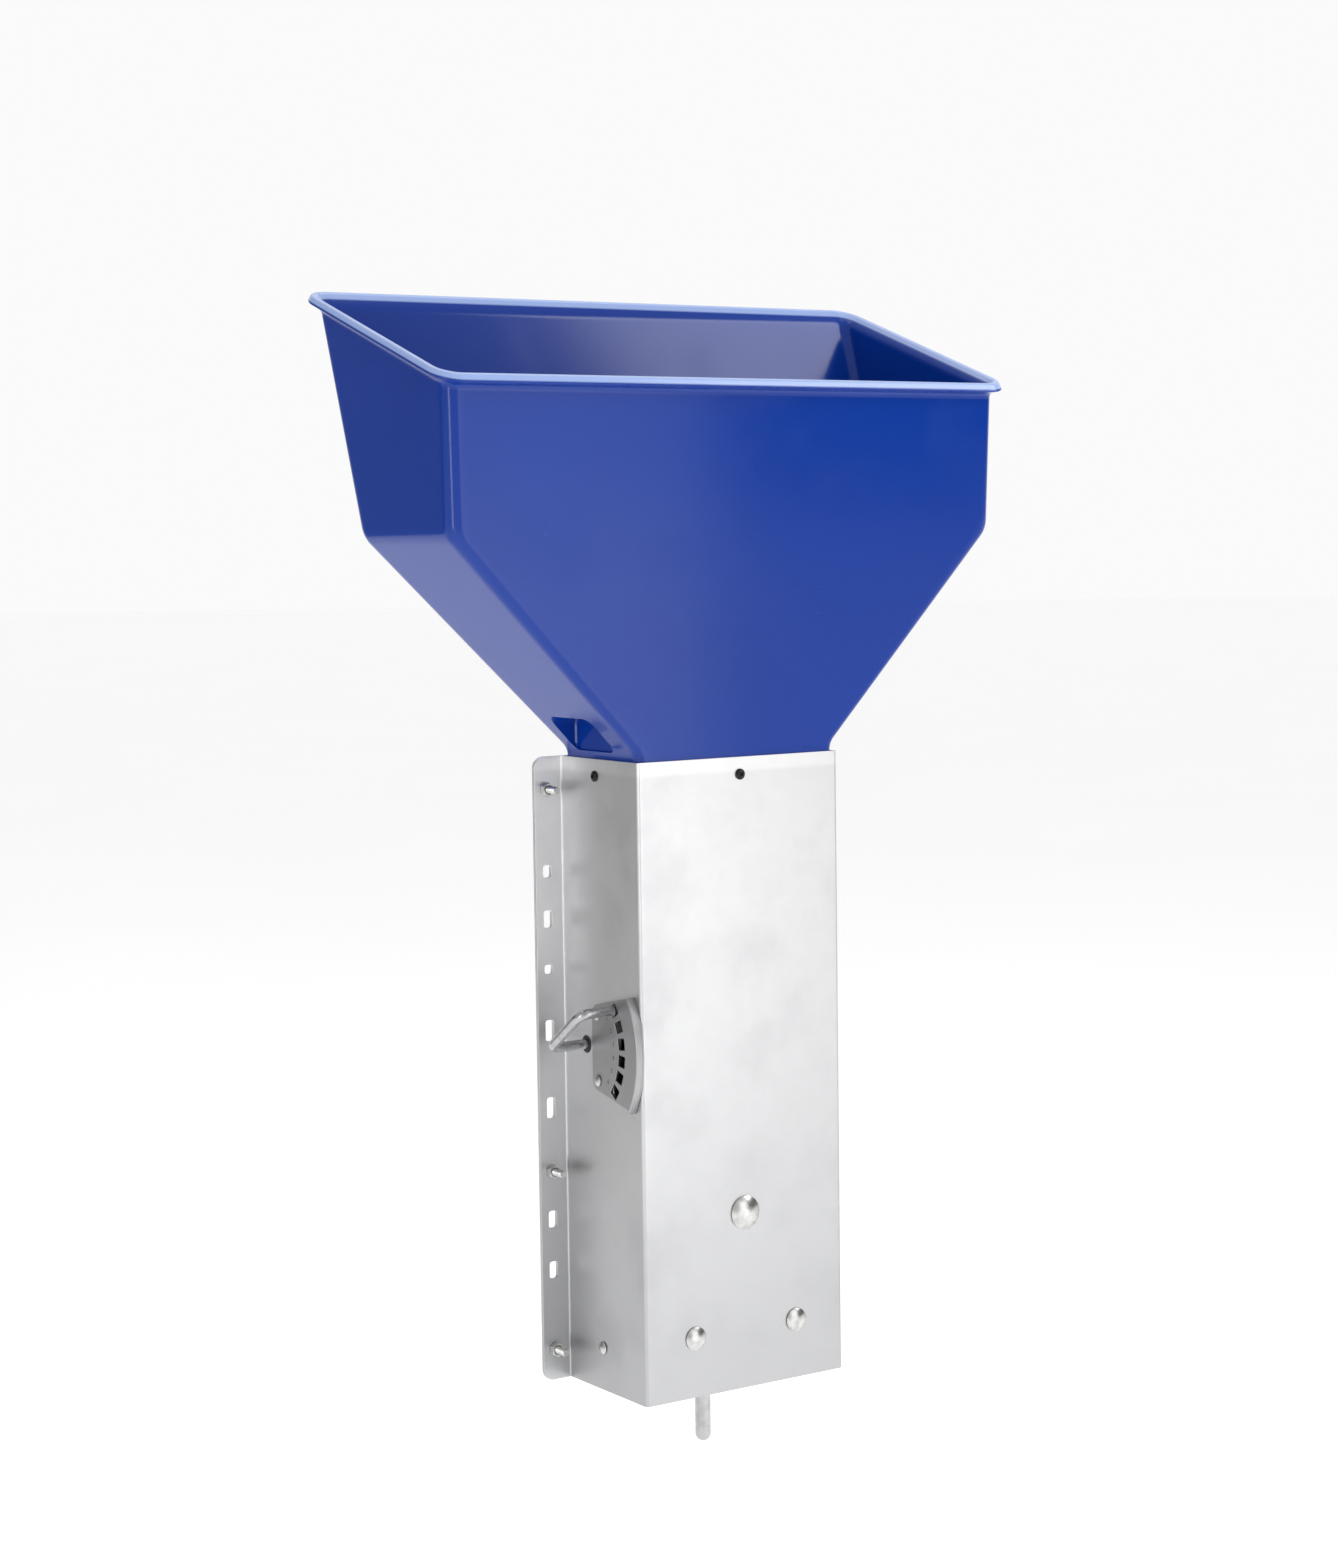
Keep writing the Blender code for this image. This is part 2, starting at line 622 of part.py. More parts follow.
def make_hopper(workshop, plastic):
    hopper = workshop.piece("hopper", loft_mesh("hopper", hopper_rings(), closed=True), plastic)
    thicken(hopper, HOPPER_WALL)
    hole = NECK_SCREW_RADIUS + GAP
    neck_z = TOP - NECK_SCREW_DROP
    drill(workshop, hopper, "hopper_front_hole", hole, (0, FRONT, neck_z), "front", 2 * CUT_MARGIN)
    for side, sign in SIDES.items():
        place = (sign * PIPE_WIDTH / 2, at_depth(NECK_SCREW_DEPTH), neck_z)
        drill(workshop, hopper, f"hopper_{side}_hole", hole, place, side, 2 * CUT_MARGIN)
    return hopper


def make_neck_screws(workshop, black):
    head = (NECK_SCREW_HEAD_RADIUS, NECK_SCREW_HEAD_HEIGHT)
    screw = bolt_mesh("neck_screw", *head, NECK_SCREW_RADIUS, NECK_SCREW_LENGTH)
    height = TOP - NECK_SCREW_DROP
    outside = PIPE_WIDTH / 2 + GAP
    places = {"front": (0, FRONT - GAP), "left": (-outside, at_depth(NECK_SCREW_DEPTH))}
    places["right"] = (outside, at_depth(NECK_SCREW_DEPTH))
    for face, (x, y) in places.items():
        matrix = Matrix.Translation((x, y, height)) @ TOWARDS[face]
        workshop.piece(f"hopper_screw_{face}", screw, black, matrix)


# Metering gate, lever and index plate -------------------------------------------


def gate_point(x=0.0, forward=0.0, rise=0.0):
    """A world point given from the gate's axis."""
    return Vector((x, at_depth(GATE_DEPTH) - forward, at_height(GATE_HEIGHT) + rise))


def rivet_place(sign):
    return gate_point(-PIPE_WIDTH / 2, RIVET_FORWARD, sign * RIVET_RISE)


def arc(radius, start, end, steps, centre=(0.0, 0.0)):
    """Points on an arc in a plane, with its angles in degrees."""
    turns = [math.radians(start + (end - start) * step / steps) for step in range(steps + 1)]
    return [(centre[0] + radius * math.cos(turn), centre[1] + radius * math.sin(turn)) for turn in turns]


def index_outline():
    """The plate's outline from the gate's axis, as forward and upward distances."""
    points = arc(INDEX_PLATE_RADIUS, -INDEX_HALF_ANGLE, INDEX_HALF_ANGLE, INDEX_ARC_STEPS)
    for sign in (1, -1):
        points += arc(RIVET_LUG_RADIUS, 90, 270, 6, (RIVET_FORWARD, sign * RIVET_RISE))
    return [points[index] for index in geometry.convex_hull_2d(points)]


def index_slot_outline():
    """The curved slot in the wall behind the index holes, as forward and upward distances."""
    half = LEVER_RADIUS + INDEX_SLOT_CLEARANCE
    end = (INDEX_HOLES - 1) / 2 * INDEX_PITCH
    outline = arc(INDEX_RADIUS + half, -end, end, INDEX_ARC_STEPS)
    outline += arc(half, end, end + 180, 4, arc(INDEX_RADIUS, end, end, 1)[0])[1:-1]
    outline += arc(INDEX_RADIUS - half, end, -end, INDEX_ARC_STEPS)
    outline += arc(half, 180 - end, 360 - end, 4, arc(INDEX_RADIUS, -end, -end, 1)[0])[1:-1]
    return outline


def index_matrix(outward):
    """Local X points forward, local Y up and local Z out of the left wall."""
    turn = Matrix(((0, 0, -1, 0), (-1, 0, 0, 0), (0, 1, 0, 0), (0, 0, 0, 1)))
    return Matrix.Translation(gate_point(-PIPE_WIDTH / 2 - outward)) @ turn


def make_index_plate(workshop, steel):
    half = INDEX_PLATE_THICKNESS / 2
    outline = [(*point, 0) for point in index_outline()]
    flat = curve_mesh("index_plate", outline, extrude=half)
    plate = workshop.piece("index_plate", flat, steel, index_matrix(GAP + half))
    band = arc(INDEX_PLATE_RADIUS, -INDEX_HALF_ANGLE, INDEX_HALF_ANGLE, INDEX_ARC_STEPS)
    band += arc(INDEX_PLATE_RADIUS - INDEX_LIP_WIDTH, INDEX_HALF_ANGLE, -INDEX_HALF_ANGLE, INDEX_ARC_STEPS)
    lip_half = (INDEX_PLATE_THICKNESS + INDEX_LIP_HEIGHT) / 2
    lip = curve_mesh("index_lip", [(*point, 0) for point in band], extrude=lip_half)
    cut(plate, workshop.tool("index_lip", lip, index_matrix(GAP + lip_half)), "UNION")
    size = (INDEX_HOLE_SIZE, INDEX_HOLE_SIZE, CUT_MARGIN)
    for number in range(INDEX_HOLES):
        name = f"index_hole_{number}"
        turn = math.radians((number - (INDEX_HOLES - 1) / 2) * INDEX_PITCH)
        place = Matrix.Rotation(turn, 4, "Z") @ Matrix.Translation((INDEX_RADIUS, 0, 0))
        cut(plate, workshop.tool(name, box_mesh(name, size), index_matrix(0) @ place))
    for label, sign in {"upper": 1, "lower": -1}.items():
        drill(workshop, plate, f"{label}_plate_rivet_hole", RIVET_RADIUS + GAP, rivet_place(sign), "left")


def make_index_rivets(workshop, zinc):
    grip = INDEX_PLATE_THICKNESS + SHEET + 3 * GAP
    foot = [(RIVET_RADIUS, 0), (RIVET_RADIUS, -grip), (RIVET_HEAD_RADIUS, -grip)]
    foot += [(RIVET_RADIUS, -grip - RIVET_HEAD_HEIGHT), (0, -grip - RIVET_HEAD_HEIGHT)]
    mesh = turned_mesh("index_rivet", dome_profile(RIVET_HEAD_RADIUS, RIVET_HEAD_HEIGHT) + foot)
    for label, sign in {"upper": 1, "lower": -1}.items():
        seat = rivet_place(sign) + Vector((-INDEX_PLATE_THICKNESS - 2 * GAP, 0, 0))
        workshop.piece(f"index_rivet_{label}", mesh, zinc, Matrix.Translation(seat) @ TOWARDS["left"])


def make_bushes(workshop, nylon):
    """Flanged bushes, pushed in from inside each side wall."""
    inner = LEVER_RADIUS + LEVER_FIT
    barrel = BUSH_FLANGE_THICKNESS + SHEET + GAP
    profile = [(inner, barrel), (BUSH_BARREL_RADIUS, barrel), (BUSH_BARREL_RADIUS, BUSH_FLANGE_THICKNESS)]
    profile += [(BUSH_FLANGE_RADIUS, BUSH_FLANGE_THICKNESS), (BUSH_FLANGE_RADIUS, 0), (inner, 0)]
    mesh = turned_mesh("shaft_bush", profile)
    start = INNER_HALF_WIDTH - GAP - BUSH_FLANGE_THICKNESS
    for side, sign in SIDES.items():
        place = Matrix.Translation(gate_point(sign * start)) @ TOWARDS[side]
        workshop.piece(f"shaft_bush_{side}", mesh, nylon, place)


def make_gate(workshop, steel, axis):
    """A blade welded along a sleeve, slotted where the lever's drive pin slides."""
    sleeve_left = -INNER_HALF_WIDTH + SLEEVE_START
    sleeve_length = INNER_HALF_WIDTH - BUSH_FLANGE_THICKNESS - SLEEVE_END_CLEARANCE - sleeve_left
    start = Matrix.Translation(gate_point(sleeve_left)) @ TOWARDS["right"]
    sleeve = prism_mesh("metering_gate", SLEEVE_RADIUS, sleeve_length)
    gate = workshop.piece("metering_gate", sleeve, steel, start)
    width = 2 * (INNER_HALF_WIDTH - BUSH_FLANGE_THICKNESS - GATE_SIDE_CLEARANCE)
    length = GATE_REACH + GATE_TAIL
    rise = SLEEVE_RADIUS + GATE_THICKNESS / 4
    centre = gate_point(0, (GATE_REACH - GATE_TAIL) / 2, rise)
    blade = box_mesh("gate_blade", (width, length, GATE_THICKNESS), centre, 0.003, along=2, steps=2)
    cut(gate, workshop.tool("gate_blade", blade), "UNION")
    drill(workshop, gate, "sleeve_bore", LEVER_RADIUS + LEVER_FIT, gate_point(), "right", 2 * PIPE_WIDTH)
    slot_width = 2 * (DRIVE_PIN_RADIUS + LEVER_FIT)
    slot_length = LEVER_PULL + slot_width
    centre = gate_point(DRIVE_PIN_OFFSET + LEVER_PULL / 2)
    slot = box_mesh("drive_slot", (slot_length, 3 * SLEEVE_RADIUS, slot_width), centre)
    cut(gate, workshop.tool("drive_slot", slot))
    hang(axis, gate)


def lever_path():
    """Centreline of the bent rod, from the right end of the shaft to the tip at the index plate."""
    turn = math.radians((INDEX_HOLES - 1) / 2 * INDEX_PITCH)
    forward, rise = INDEX_RADIUS * math.cos(turn), INDEX_RADIUS * math.sin(turn)
    outside = -PIPE_WIDTH / 2
    tip = outside - 2 * GAP - INDEX_PLATE_THICKNESS
    corners = [gate_point(PIPE_WIDTH / 2 + LEVER_TAIL), gate_point(outside - LEVER_STANDOFF)]
    corners += [gate_point(outside - LEVER_STANDOFF, forward, rise), gate_point(tip, forward, rise)]
    return rounded_path(corners, LEVER_BEND, steps=6)


def make_lever(workshop, steel, axis):
    lever = workshop.piece("adjuster_lever", curve_mesh("adjuster_lever", lever_path(), LEVER_RADIUS), steel)
    hole = DRIVE_PIN_RADIUS + GAP
    drill(workshop, lever, "drive_pin_hole", hole, gate_point(DRIVE_PIN_OFFSET), "front", 4 * LEVER_RADIUS)
    pin_mesh = prism_mesh("lever_drive_pin", DRIVE_PIN_RADIUS, DRIVE_PIN_LENGTH, sides=16)
    start = gate_point(DRIVE_PIN_OFFSET, -DRIVE_PIN_LENGTH / 2)
    pin = workshop.piece("lever_drive_pin", pin_mesh, steel, Matrix.Translation(start) @ TOWARDS["front"])
    collar_end = -INNER_HALF_WIDTH + SLEEVE_START - LEVER_PULL - 2 * GAP
    collar_mesh = ring_mesh("lever_collar", LEVER_RADIUS + GAP, COLLAR_RADIUS, COLLAR_LENGTH)
    place = Matrix.Translation(gate_point(collar_end - COLLAR_LENGTH)) @ TOWARDS["right"]
    collar = workshop.piece("lever_collar", collar_mesh, steel, place)
    hang(axis, lever, pin, collar)


def make_lever_spring(workshop, steel):
    """A compression spring between the left bush and the lever's collar."""
    left = -INNER_HALF_WIDTH + 2 * GAP + BUSH_FLANGE_THICKNESS + SPRING_WIRE_RADIUS
    right = -INNER_HALF_WIDTH + SLEEVE_START - LEVER_PULL - 3 * GAP - COLLAR_LENGTH - SPRING_WIRE_RADIUS
    count = SPRING_TURNS * SPRING_POINTS_PER_TURN
    points = []
    for step in range(count + 1):
        turn = 2 * math.pi * step / SPRING_POINTS_PER_TURN
        x = left + (right - left) * step / count
        points.append(gate_point(x, SPRING_MEAN_RADIUS * math.cos(turn), SPRING_MEAN_RADIUS * math.sin(turn)))
    workshop.piece("lever_spring", curve_mesh("lever_spring", points, SPRING_WIRE_RADIUS), steel)


# Trigger ------------------------------------------------------------------------


def trigger_point(depth=TRIGGER_DEPTH, drop=0.0, x=0.0):
    """A world point given by its depth behind the front face and its drop below the trigger bolt."""
    return Vector((x, at_depth(depth), at_height(TRIGGER_HEIGHT) - drop))


def make_trigger_bolt(workshop, zinc):
    hanger_end = TRIGGER_DEPTH + HANGER_LENGTH / 2
    length = hanger_end + HANGER_PLAY + END_NUT_HEIGHT + THREAD_OVERHANG
    bolt = bolt_mesh("trigger_bolt", TRIGGER_HEAD_RADIUS, TRIGGER_HEAD_HEIGHT, TRIGGER_BOLT_RADIUS, length)
    head = Matrix.Translation(trigger_point(-GAP)) @ TOWARDS["front"]
    workshop.piece("trigger_bolt", bolt, zinc, head)
    bore = TRIGGER_BOLT_RADIUS + GAP
    nuts = {"trigger_lock_nut": (SHEET + GAP, LOCK_NUT_HEIGHT)}
    nuts["trigger_end_nut"] = (hanger_end + HANGER_PLAY, END_NUT_HEIGHT)
    for name, (depth, height) in nuts.items():
        mesh = nut_mesh(workshop, name, TRIGGER_NUT_FLATS, height, bore, zinc)
        workshop.piece(name, mesh, zinc, Matrix.Translation(trigger_point(depth)) @ TOWARDS["rear"])
    spacer_start = SHEET + 2 * GAP + LOCK_NUT_HEIGHT
    spacer_length = TRIGGER_DEPTH - HANGER_LENGTH / 2 - HANGER_PLAY - spacer_start
    spacer = ring_mesh("trigger_spacer", bore, bore + SPACER_WALL, spacer_length)
    place = Matrix.Translation(trigger_point(spacer_start)) @ TOWARDS["rear"]
    workshop.piece("trigger_spacer", spacer, zinc, place)


def make_hanger(workshop, steel, axis):
    """A sleeve that swings side to side on the bolt, with a fork below it."""
    start = Matrix.Translation(trigger_point(TRIGGER_DEPTH - HANGER_LENGTH / 2)) @ TOWARDS["rear"]
    sleeve = prism_mesh("trigger_hanger", HANGER_RADIUS, HANGER_LENGTH)
    hanger = workshop.piece("trigger_hanger", sleeve, steel, start)
    gap = TONGUE_THICKNESS / 2 + TONGUE_CLEARANCE
    half = gap + CHEEK_THICKNESS
    foot = HANGER_PIN_DROP + TONGUE_RADIUS
    size = (2 * half, CHEEK_WIDTH, foot - TRIGGER_BOLT_RADIUS)
    fork = box_mesh("fork", size, trigger_point(drop=(foot + TRIGGER_BOLT_RADIUS) / 2), 0.004, along=0)
    cut(hanger, workshop.tool("fork", fork), "UNION")
    slot_top = HANGER_PIN_DROP - TONGUE_RADIUS - TONGUE_CLEARANCE * 2
    slot_size = (2 * gap, 2 * CHEEK_WIDTH, foot + CUT_MARGIN - slot_top)
    slot = box_mesh("fork_slot", slot_size, trigger_point(drop=slot_top + slot_size[2] / 2))
    cut(hanger, workshop.tool("fork_slot", slot))
    bore = TRIGGER_BOLT_RADIUS + GAP
    drill(workshop, hanger, "hanger_bore", bore, trigger_point(), "rear", 2 * HANGER_LENGTH)
    hole = HANGER_PIN_RADIUS + GAP
    drill(workshop, hanger, "hanger_pin_hole", hole, trigger_point(drop=HANGER_PIN_DROP), "right", 4 * half)
    seat = half + GAP
    tail = -2 * seat - HANGER_PIN_HEAD_HEIGHT
    profile = [(0, HANGER_PIN_HEAD_HEIGHT), (HANGER_PIN_HEAD_RADIUS, HANGER_PIN_HEAD_HEIGHT)]
    profile += [(HANGER_PIN_HEAD_RADIUS, 0), (HANGER_PIN_RADIUS, 0), (HANGER_PIN_RADIUS, tail), (0, tail)]
    place = Matrix.Translation(trigger_point(drop=HANGER_PIN_DROP, x=seat)) @ TOWARDS["right"]
    pin = workshop.piece("hanger_pin", turned_mesh("hanger_pin", profile), steel, place)
    hang(axis, hanger, pin)


def rod_profile(length):
    """The trigger rod below its tongue: a straight bar with a round end."""
    end = arc(ROD_RADIUS, 0, -90, 6, (0.0, -length + ROD_RADIUS))
    return [(0.0, -ROD_SHOULDER), (ROD_RADIUS, -ROD_SHOULDER), *end[:-1], (0.0, -length)]


def make_trigger_rod(workshop, steel, axis):
    pin = trigger_point(drop=HANGER_PIN_DROP)
    length = TRIGGER_HEIGHT - HANGER_PIN_DROP + ROD_DROP_BELOW_PIPE
    bar = turned_mesh("trigger_rod", rod_profile(length))
    rod = workshop.piece("trigger_rod", bar, steel, Matrix.Translation(pin))
    eye = prism_mesh("rod_eye", TONGUE_RADIUS, TONGUE_THICKNESS)
    start = Matrix.Translation(pin - Vector((TONGUE_THICKNESS / 2, 0, 0))) @ TOWARDS["right"]
    cut(rod, workshop.tool("rod_eye", eye, start), "UNION")
    web_size = (TONGUE_THICKNESS - 2 * GAP, 1.8 * ROD_RADIUS, ROD_SHOULDER + WEB_OVERLAP)
    web = box_mesh("rod_web", web_size, pin - Vector((0, 0, web_size[2] / 2)))
    cut(rod, workshop.tool("rod_web", web), "UNION")
    drill(workshop, rod, "rod_pin_hole", HANGER_PIN_RADIUS + GAP, pin, "right", 2 * CUT_MARGIN)
    hang(axis, rod)


def make_sweeper(workshop, steel, axis):
    """A disc and hub on the rod that cover the ledge's slot and push feed into it."""
    bore = ROD_RADIUS + GAP
    hub_top = SWEEPER_THICKNESS + SWEEPER_HUB_HEIGHT
    profile = [(bore, hub_top), (SWEEPER_HUB_RADIUS, hub_top), (SWEEPER_HUB_RADIUS, SWEEPER_THICKNESS)]
    profile += [(SWEEPER_RADIUS, SWEEPER_THICKNESS), (SWEEPER_RADIUS, 0), (bore, 0)]
    foot = Vector((0, at_depth(TRIGGER_DEPTH), at_height(LEDGE_HEIGHT) + SWEEPER_LIFT))
    turned = turned_mesh("sweeper_disc", profile)
    disc = workshop.piece("sweeper_disc", turned, steel, Matrix.Translation(foot))
    middle = foot + Vector((0, 0, SWEEPER_THICKNESS + SWEEPER_HUB_HEIGHT / 2))
    screw_length = SWEEPER_HUB_RADIUS - bore + SET_SCREW_STANDOUT
    outer = middle - Vector((0, bore + GAP + screw_length / 2, 0))
    drill(workshop, disc, "set_screw_hole", SET_SCREW_RADIUS + GAP, outer, "front", 2 * screw_length)
    start = middle - Vector((0, ROD_RADIUS + 2 * GAP, 0))
    mesh = prism_mesh("sweeper_set_screw", SET_SCREW_RADIUS, screw_length, sides=16)
    screw = workshop.piece("sweeper_set_screw", mesh, steel, Matrix.Translation(start) @ TOWARDS["front"])
    hang(axis, disc, screw)


# Feed ledge -----------------------------------------------------------------------


def ledge_section():
    """Outer skin of the ledge's skirt seen from above, open at the rear."""
    half = INNER_HALF_WIDTH - GAP
    front = FRONT + SHEET + GAP
    back = PLATE_FRONT - GAP
    corners = [(-half, back), (-half, front), (half, front), (half, back)]
    return rounded_path([Vector((x, y, 0)) for x, y in corners], LEDGE_CORNER_RADIUS)


def make_ledge(workshop, steel):
    """A shelf with a skirt on three sides, and a slot that the trigger rod hangs through."""
    section = ledge_section()
    top = at_height(LEDGE_HEIGHT)
    rings = [[point + Vector((0, 0, end)) for point in section] for end in (top - LEDGE_SKIRT, top)]
    form = bmesh.new()
    form.from_mesh(loft_mesh("ledge_skirt", rings, closed=False))
    form.faces.new([vert for vert in form.verts if vert.co.z > top - LEDGE_SKIRT / 2])
    bmesh.ops.recalc_face_normals(form, faces=form.faces)
    ledge = workshop.piece("feed_ledge", finish_mesh("feed_ledge", form), steel)
    thicken(ledge, SHEET)
    slot_size = (LEDGE_SLOT_WIDTH, LEDGE_SLOT_DEPTH, 4 * SHEET)
    slot_centre = (0, at_depth(TRIGGER_DEPTH), top)
    slot = box_mesh("ledge_slot", slot_size, slot_centre, LEDGE_CORNER_RADIUS, along=2)
    cut(ledge, workshop.tool("ledge_slot", slot))
    side_hole = SIDE_BOLT_RADIUS + HOLE_CLEARANCE
    front_hole = FRONT_BOLT_RADIUS + HOLE_CLEARANCE
    for side, sign in SIDES.items():
        wall = (sign * INNER_HALF_WIDTH, at_depth(SIDE_BOLT_DEPTH), at_height(SIDE_BOLT_HEIGHT))
        drill(workshop, ledge, f"skirt_{side}_hole", side_hole, wall, side)
        front = (sign * FRONT_BOLT_OFFSET, FRONT + SHEET, at_height(FRONT_BOLT_HEIGHT))
        drill(workshop, ledge, f"skirt_front_{side}_hole", front_hole, front, "front")


def make_ledge_bolts(workshop, zinc):
    """Domed bolts through the downpipe and the ledge's skirt, with nuts inside."""
    grip = 2 * SHEET + 2 * GAP
    front_length = grip + GAP + FRONT_NUT_HEIGHT + THREAD_OVERHANG
    front_head = (FRONT_BOLT_HEAD_RADIUS, FRONT_BOLT_HEAD_HEIGHT)
    front_bolt = bolt_mesh("ledge_front_bolt", *front_head, FRONT_BOLT_RADIUS, front_length)
    front_size = (FRONT_NUT_FLATS, FRONT_NUT_HEIGHT, FRONT_BOLT_RADIUS + GAP)
    front_nut = nut_mesh(workshop, "ledge_front_nut", *front_size, zinc)
    side_length = grip + GAP + SIDE_NUT_HEIGHT + THREAD_OVERHANG
    side_head = (SIDE_BOLT_HEAD_RADIUS, SIDE_BOLT_HEAD_HEIGHT)
    side_bolt = bolt_mesh("ledge_side_bolt", *side_head, SIDE_BOLT_RADIUS, side_length)
    side_size = (SIDE_NUT_FLATS, SIDE_NUT_HEIGHT, SIDE_BOLT_RADIUS + GAP)
    side_nut = nut_mesh(workshop, "ledge_side_nut", *side_size, zinc)
    for side, sign in SIDES.items():
        front = Vector((sign * FRONT_BOLT_OFFSET, FRONT, at_height(FRONT_BOLT_HEIGHT)))
        head = Matrix.Translation(front - Vector((0, GAP, 0))) @ TOWARDS["front"]
        workshop.piece(f"ledge_front_bolt_{side}", front_bolt, zinc, head)
        seat = Matrix.Translation(front + Vector((0, grip, 0))) @ TOWARDS["rear"]
        workshop.piece(f"ledge_front_nut_{side}", front_nut, zinc, seat)
        wall = Vector((sign * PIPE_WIDTH / 2, at_depth(SIDE_BOLT_DEPTH), at_height(SIDE_BOLT_HEIGHT)))
        inward = Vector((-sign, 0, 0))
        other = "left" if side == "right" else "right"
        head = Matrix.Translation(wall - inward * GAP) @ TOWARDS[side]
        workshop.piece(f"ledge_side_bolt_{side}", side_bolt, zinc, head)
        seat = Matrix.Translation(wall + inward * grip) @ TOWARDS[other]
        workshop.piece(f"ledge_side_nut_{side}", side_nut, zinc, seat)


def main():
    clear_scene()
    workshop = Workshop()
    sheet_steel = make_material("brushed_stainless", (0.70, 0.70, 0.71), 0.35, 1.0)
    bar_steel = make_material("bright_steel", (0.62, 0.62, 0.63), 0.30, 1.0)
    zinc = make_material("plated_fixings", (0.66, 0.66, 0.64), 0.40, 1.0)
    plastic = make_material("blue_plastic", (0.02, 0.10, 0.50), 0.25)
    black = make_material("black_screw", (0.02, 0.02, 0.02), 0.45)
    nylon = make_material("black_nylon", (0.03, 0.03, 0.03), 0.55)

    shell = make_front_shell(workshop, sheet_steel)
    drill_front_shell(workshop, shell)
    make_back_plate(workshop, sheet_steel)
    make_flange_fixings(workshop, zinc)

    hopper = make_hopper(workshop, plastic)
    for side, sign in SIDES.items():
        add_screw_pocket(workshop, hopper, side, sign)
    make_neck_screws(workshop, black)

    gate_axis = make_axis(workshop, "gate_axis", gate_point())
    make_index_plate(workshop, sheet_steel)
    make_index_rivets(workshop, zinc)
    make_bushes(workshop, nylon)
    make_gate(workshop, sheet_steel, gate_axis)
    make_lever(workshop, bar_steel, gate_axis)
    make_lever_spring(workshop, bar_steel)

    side_axis = make_axis(workshop, "trigger_side_axis", trigger_point())
    fore_axis = make_axis(workshop, "trigger_fore_axis", trigger_point(drop=HANGER_PIN_DROP))
    make_trigger_bolt(workshop, zinc)
    make_hanger(workshop, bar_steel, side_axis)
    make_trigger_rod(workshop, bar_steel, fore_axis)
    make_sweeper(workshop, sheet_steel, fore_axis)
    hang(side_axis, fore_axis)

    make_ledge(workshop, sheet_steel)
    make_ledge_bolts(workshop, zinc)


main()
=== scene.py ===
"""Livestock gravity feeder: detailed pieces, finishes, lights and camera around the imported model."""

import json
import logging
import math
from collections.abc import Callable, Sequence
from dataclasses import dataclass
from enum import Enum
from typing import Any

import bmesh
import bpy
from mathutils import Matrix, Vector, geometry

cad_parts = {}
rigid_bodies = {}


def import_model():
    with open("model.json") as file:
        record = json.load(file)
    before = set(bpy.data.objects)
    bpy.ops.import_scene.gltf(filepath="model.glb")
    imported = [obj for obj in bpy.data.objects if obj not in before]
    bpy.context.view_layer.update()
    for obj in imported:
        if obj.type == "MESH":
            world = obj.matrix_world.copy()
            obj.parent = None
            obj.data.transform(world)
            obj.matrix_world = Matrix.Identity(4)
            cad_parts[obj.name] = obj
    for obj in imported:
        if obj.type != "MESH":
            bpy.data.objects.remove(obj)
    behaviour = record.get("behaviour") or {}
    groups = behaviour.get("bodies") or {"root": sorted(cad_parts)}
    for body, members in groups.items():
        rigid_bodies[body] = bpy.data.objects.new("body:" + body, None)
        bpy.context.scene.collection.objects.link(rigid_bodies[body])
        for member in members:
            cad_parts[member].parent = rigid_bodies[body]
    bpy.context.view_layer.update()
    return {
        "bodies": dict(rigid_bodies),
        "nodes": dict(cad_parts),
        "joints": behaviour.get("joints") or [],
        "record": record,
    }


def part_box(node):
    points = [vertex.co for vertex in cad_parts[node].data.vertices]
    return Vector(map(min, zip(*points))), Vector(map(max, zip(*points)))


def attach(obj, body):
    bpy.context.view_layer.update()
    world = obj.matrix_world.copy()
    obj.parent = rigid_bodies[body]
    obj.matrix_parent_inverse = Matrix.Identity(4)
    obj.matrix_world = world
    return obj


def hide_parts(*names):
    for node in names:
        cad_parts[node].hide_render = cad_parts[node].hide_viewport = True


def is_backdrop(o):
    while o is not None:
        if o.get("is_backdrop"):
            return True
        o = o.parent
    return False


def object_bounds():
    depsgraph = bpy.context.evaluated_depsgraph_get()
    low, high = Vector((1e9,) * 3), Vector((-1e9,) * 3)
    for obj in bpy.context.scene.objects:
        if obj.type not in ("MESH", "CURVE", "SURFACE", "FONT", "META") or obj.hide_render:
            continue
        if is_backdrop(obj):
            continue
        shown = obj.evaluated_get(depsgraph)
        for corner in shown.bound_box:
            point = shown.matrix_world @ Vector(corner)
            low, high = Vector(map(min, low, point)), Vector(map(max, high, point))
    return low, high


LOG = logging.getLogger("feeder")

Colour = tuple[float, float, float, float]
Region = tuple[tuple[float, float, float], float, float]
Point = tuple[float, float]
Loop = list[Point]
Measure = float | Callable[[float], float]
Profile = Sequence[tuple[Measure, Measure]]
SIDES = {"left": -1, "right": 1}
LEVELS = ("upper", "middle", "lower")

SCREW_RADIUS = 0.002
SIDE_BOLT_RADIUS = 0.0025
FRONT_BOLT_RADIUS = 0.004
TRIGGER_BOLT_RADIUS = 0.00635


def measured(measure: Measure, where: float) -> float:
    """A measure's value, which may depend on an angle or a place."""
    return measure(where) if callable(measure) else measure


# Shader graphs ------------------------------------------------------------------


